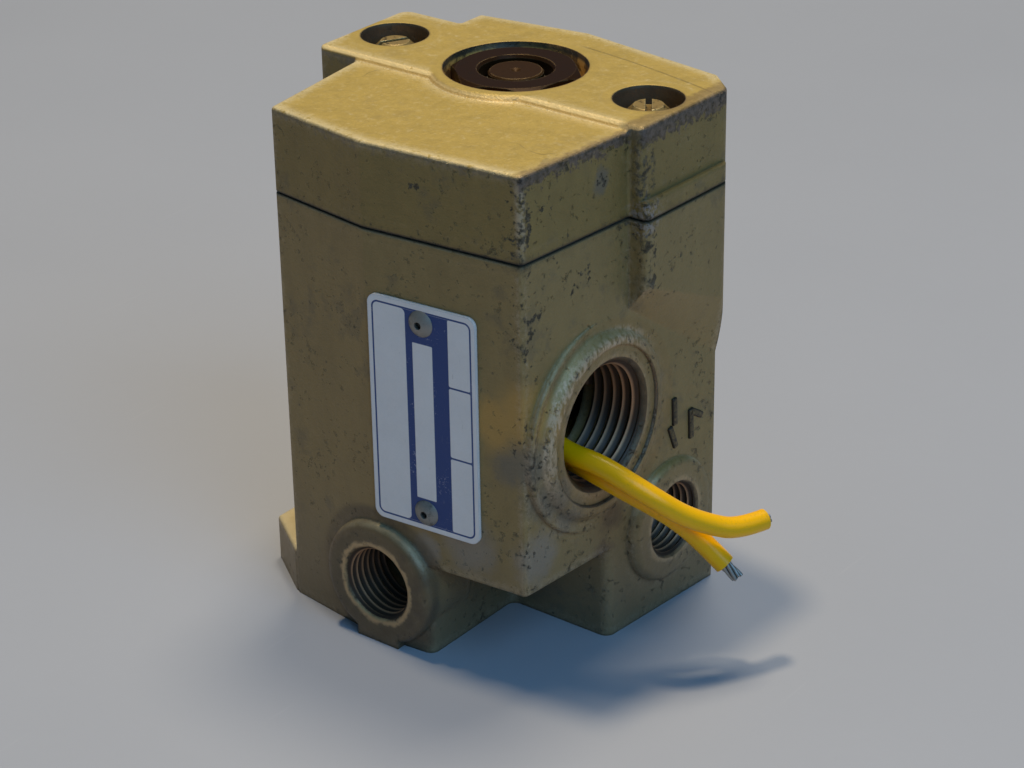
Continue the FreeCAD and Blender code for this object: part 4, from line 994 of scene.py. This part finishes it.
class VALVE_OT_leads(bpy.types.Operator):
    """Lay the two coil leads and their bare strands"""
    bl_idname = "valve.leads"
    bl_label = "Leads"

    def execute(self, context):
        settings = context.scene.valve_leads
        random.seed(7)
        for name, route, strand_length, length in (
            ("lead_upper", UPPER_ROUTE, 0.8 * MM, 0.0576),
            ("lead_lower", LOWER_ROUTE, 3.2 * MM, 0.0500),
        ):
            points = [Vector(point) * MM for point in route]
            lead = self.lead(name + "_insulation", points, settings.diameter)
            end = (points[-1] - points[-2]).normalized()
            strands = self.strands(name + "_wires", strand_length, settings.strand_radius)
            placed(strands, facing(points[-1], end))
            dressed(strands, finish_of(name + "_strands"), angle=50.0)
            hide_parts(name + "_strands")
            dressed(lead, finish_of(name))
            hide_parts(name)
        return {"FINISHED"}

    def lead(self, name, points, diameter):
        curve = bpy.data.curves.new(name, "CURVE")
        curve.dimensions = "3D"
        curve.bevel_depth = diameter / 2
        curve.bevel_resolution = 8
        curve.resolution_u = 16
        curve.use_fill_caps = True
        spline = curve.splines.new("NURBS")
        spline.points.add(len(points) - 1)
        for point, place in zip(spline.points, points):
            point.co = (*place, 1.0)
        spline.order_u = 3
        spline.use_endpoint_u = True
        lead = bpy.data.objects.new(name, curve)
        bpy.context.scene.collection.objects.link(lead)
        return lead

    def strands(self, name, length, radius):
        """A twisted bundle of seven strands along +Z, cut a little unevenly."""
        sunk = 0.4 * MM
        bundle = []
        for index in range(7):
            away = 0.0 if index == 0 else 2.05 * radius
            bpy.ops.mesh.primitive_circle_add(vertices=12, radius=radius, location=(away, 0, -sunk))
            strand = added(name)
            bpy.ops.object.transform_apply(location=True, rotation=True, scale=True)
            reach = (length + sunk) * random.uniform(0.88, 1.0)
            modified(strand, "SCREW", axis="Z", angle=math.radians(70.0), screw_offset=reach, steps=10,
                     render_steps=10, use_merge_vertices=False)
            mended(strand, 12)
            placed(strand, Matrix.Rotation(index * math.pi / 3, 4, "Z"))
            bundle.append(strand)
        return joined(name, bundle)


class VALVE_OT_stage(bpy.types.Operator):
    """Set the floor, the lamps, the world and the camera"""
    bl_idname = "valve.stage"
    bl_label = "Stage"

    # The camera, as solved from the photograph's edges, in metres and radians
    camera_place = Vector((253.257, -322.639, 234.867)) * MM
    yaw, pitch, roll = 0.669026, 0.460973, -0.016761
    sensor = 36.0

    lamp_target = Vector((0.01, -0.01, 0.03))
    sky_colour = (0.32, 0.64, 1.0, 1.0)

    def execute(self, context):
        settings = context.scene.valve_stage
        self.camera(context.scene, settings)
        self.floor(settings)
        # Each lamp: its place, its width, its power and its colour
        for name, place, size, power, colour in (
            ("key_lamp", (-0.22, -0.01, 1.38), 0.12, settings.key_power, (1.0, 0.82, 0.54)),
            ("ceiling", (-0.08, 0.37, 1.36), 0.4, settings.ceiling_power, (1.0, 0.88, 0.66)),
            ("window", (1.22, -0.40, 1.05), 1.2, settings.window_power, (0.28, 0.60, 1.0)),
        ):
            self.lamp(name, Vector(place), size, power, colour)
        self.sky(context.scene, settings)
        context.scene.view_settings.view_transform = "Standard"
        return {"FINISHED"}

    def camera(self, scene, settings):
        yaw, pitch, roll = self.yaw, self.pitch, self.roll
        back = Vector((math.sin(yaw) * math.cos(pitch), -math.cos(yaw) * math.cos(pitch), math.sin(pitch)))
        level = Vector((math.cos(yaw), math.sin(yaw), 0.0))
        upright = back.cross(level)
        right = level * math.cos(roll) + upright * math.sin(roll)
        up = upright * math.cos(roll) - level * math.sin(roll)
        data = bpy.data.cameras.new("camera")
        data.sensor_width = self.sensor
        data.lens = settings.lens
        camera = bpy.data.objects.new("camera", data)
        turn = Matrix((right, up, back)).transposed().to_4x4()
        camera.matrix_world = Matrix.Translation(self.camera_place) @ turn
        scene.collection.objects.link(camera)
        scene.camera = camera

    def floor(self, settings):
        bpy.ops.object.select_all(action="DESELECT")
        bpy.ops.mesh.primitive_plane_add(size=6.0, location=(0, 0, -0.02 * MM))
        floor = added("floor")
        bpy.ops.object.transform_apply(location=True, rotation=True, scale=True)
        graph = Graph("floor_paint")
        cloud = graph.noise(120, 4.0, 0.5)
        fine = graph.noise(3, 5.0, 0.6)
        graph.colour = graph.shade(settings.floor_colour, 0.95 + 0.08 * cloud + 0.02 * fine)
        streaks = graph.noise(2.0, 2.0, 0.5, graph.stretched((1.0, 0.04, 1.0), (0.0, 0.0, 0.9)))
        graph.lay(graph.fade(streaks, 0.72, 0.76) * 0.08, (0.6, 0.6, 0.62))
        floor.data.materials.append(graph.surface(Roughness=0.42 + 0.1 * cloud))

    def lamp(self, name, place, size, power, colour):
        data = bpy.data.lights.new(name, "AREA")
        data.shape = "DISK"
        data.size = size
        data.energy = power
        data.color = colour
        lamp = bpy.data.objects.new(name, data)
        lamp.matrix_world = facing(place, place - self.lamp_target)
        bpy.context.scene.collection.objects.link(lamp)

    def sky(self, scene, settings):
        world = bpy.data.worlds.new("sky")
        world.use_nodes = True
        ground = world.node_tree.nodes["Background"]
        ground.inputs["Color"].default_value = self.sky_colour
        ground.inputs["Strength"].default_value = settings.sky_level
        scene.world = world


class VALVE_PT_panel(bpy.types.Panel):
    """Lists the steps and their settings"""
    bl_idname = "VALVE_PT_panel"
    bl_label = "Pilot valve"
    bl_space_type = "VIEW_3D"
    bl_region_type = "UI"
    bl_category = "Valve"

    def draw(self, context):
        scene = context.scene
        for operator, settings in ((VALVE_OT_finishes, (scene.valve_coat, scene.valve_plate)),
                                   (VALVE_OT_threads, (scene.valve_threads,)),
                                   (VALVE_OT_flow_marks, (scene.valve_marks,)),
                                   (VALVE_OT_leads, (scene.valve_leads,)),
                                   (VALVE_OT_stage, (scene.valve_stage,))):
            box = self.layout.box()
            box.operator(operator.bl_idname)
            for group in settings:
                for name in group.__annotations__:
                    box.prop(group, name)


SETTINGS = {
    "valve_coat": CoatSettings,
    "valve_threads": ThreadSettings,
    "valve_marks": MarkSettings,
    "valve_plate": PlateSettings,
    "valve_leads": LeadSettings,
    "valve_stage": StageSettings,
}
CLASSES = (*SETTINGS.values(), VALVE_OT_finishes, VALVE_OT_threads, VALVE_OT_flow_marks, VALVE_OT_leads,
           VALVE_OT_stage, VALVE_PT_panel)


def register():
    for each in CLASSES:
        bpy.utils.register_class(each)
    for name, group in SETTINGS.items():
        setattr(bpy.types.Scene, name, bpy.props.PointerProperty(type=group))


def unregister():
    for name in SETTINGS:
        delattr(bpy.types.Scene, name)
    for each in reversed(CLASSES):
        bpy.utils.unregister_class(each)


def main():
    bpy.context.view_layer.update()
    register()
    bpy.ops.valve.stage()
    bpy.ops.valve.finishes()
    bpy.ops.valve.leads()
    bpy.ops.valve.threads()
    bpy.ops.valve.flow_marks()


if __name__ == "__main__":
    main()
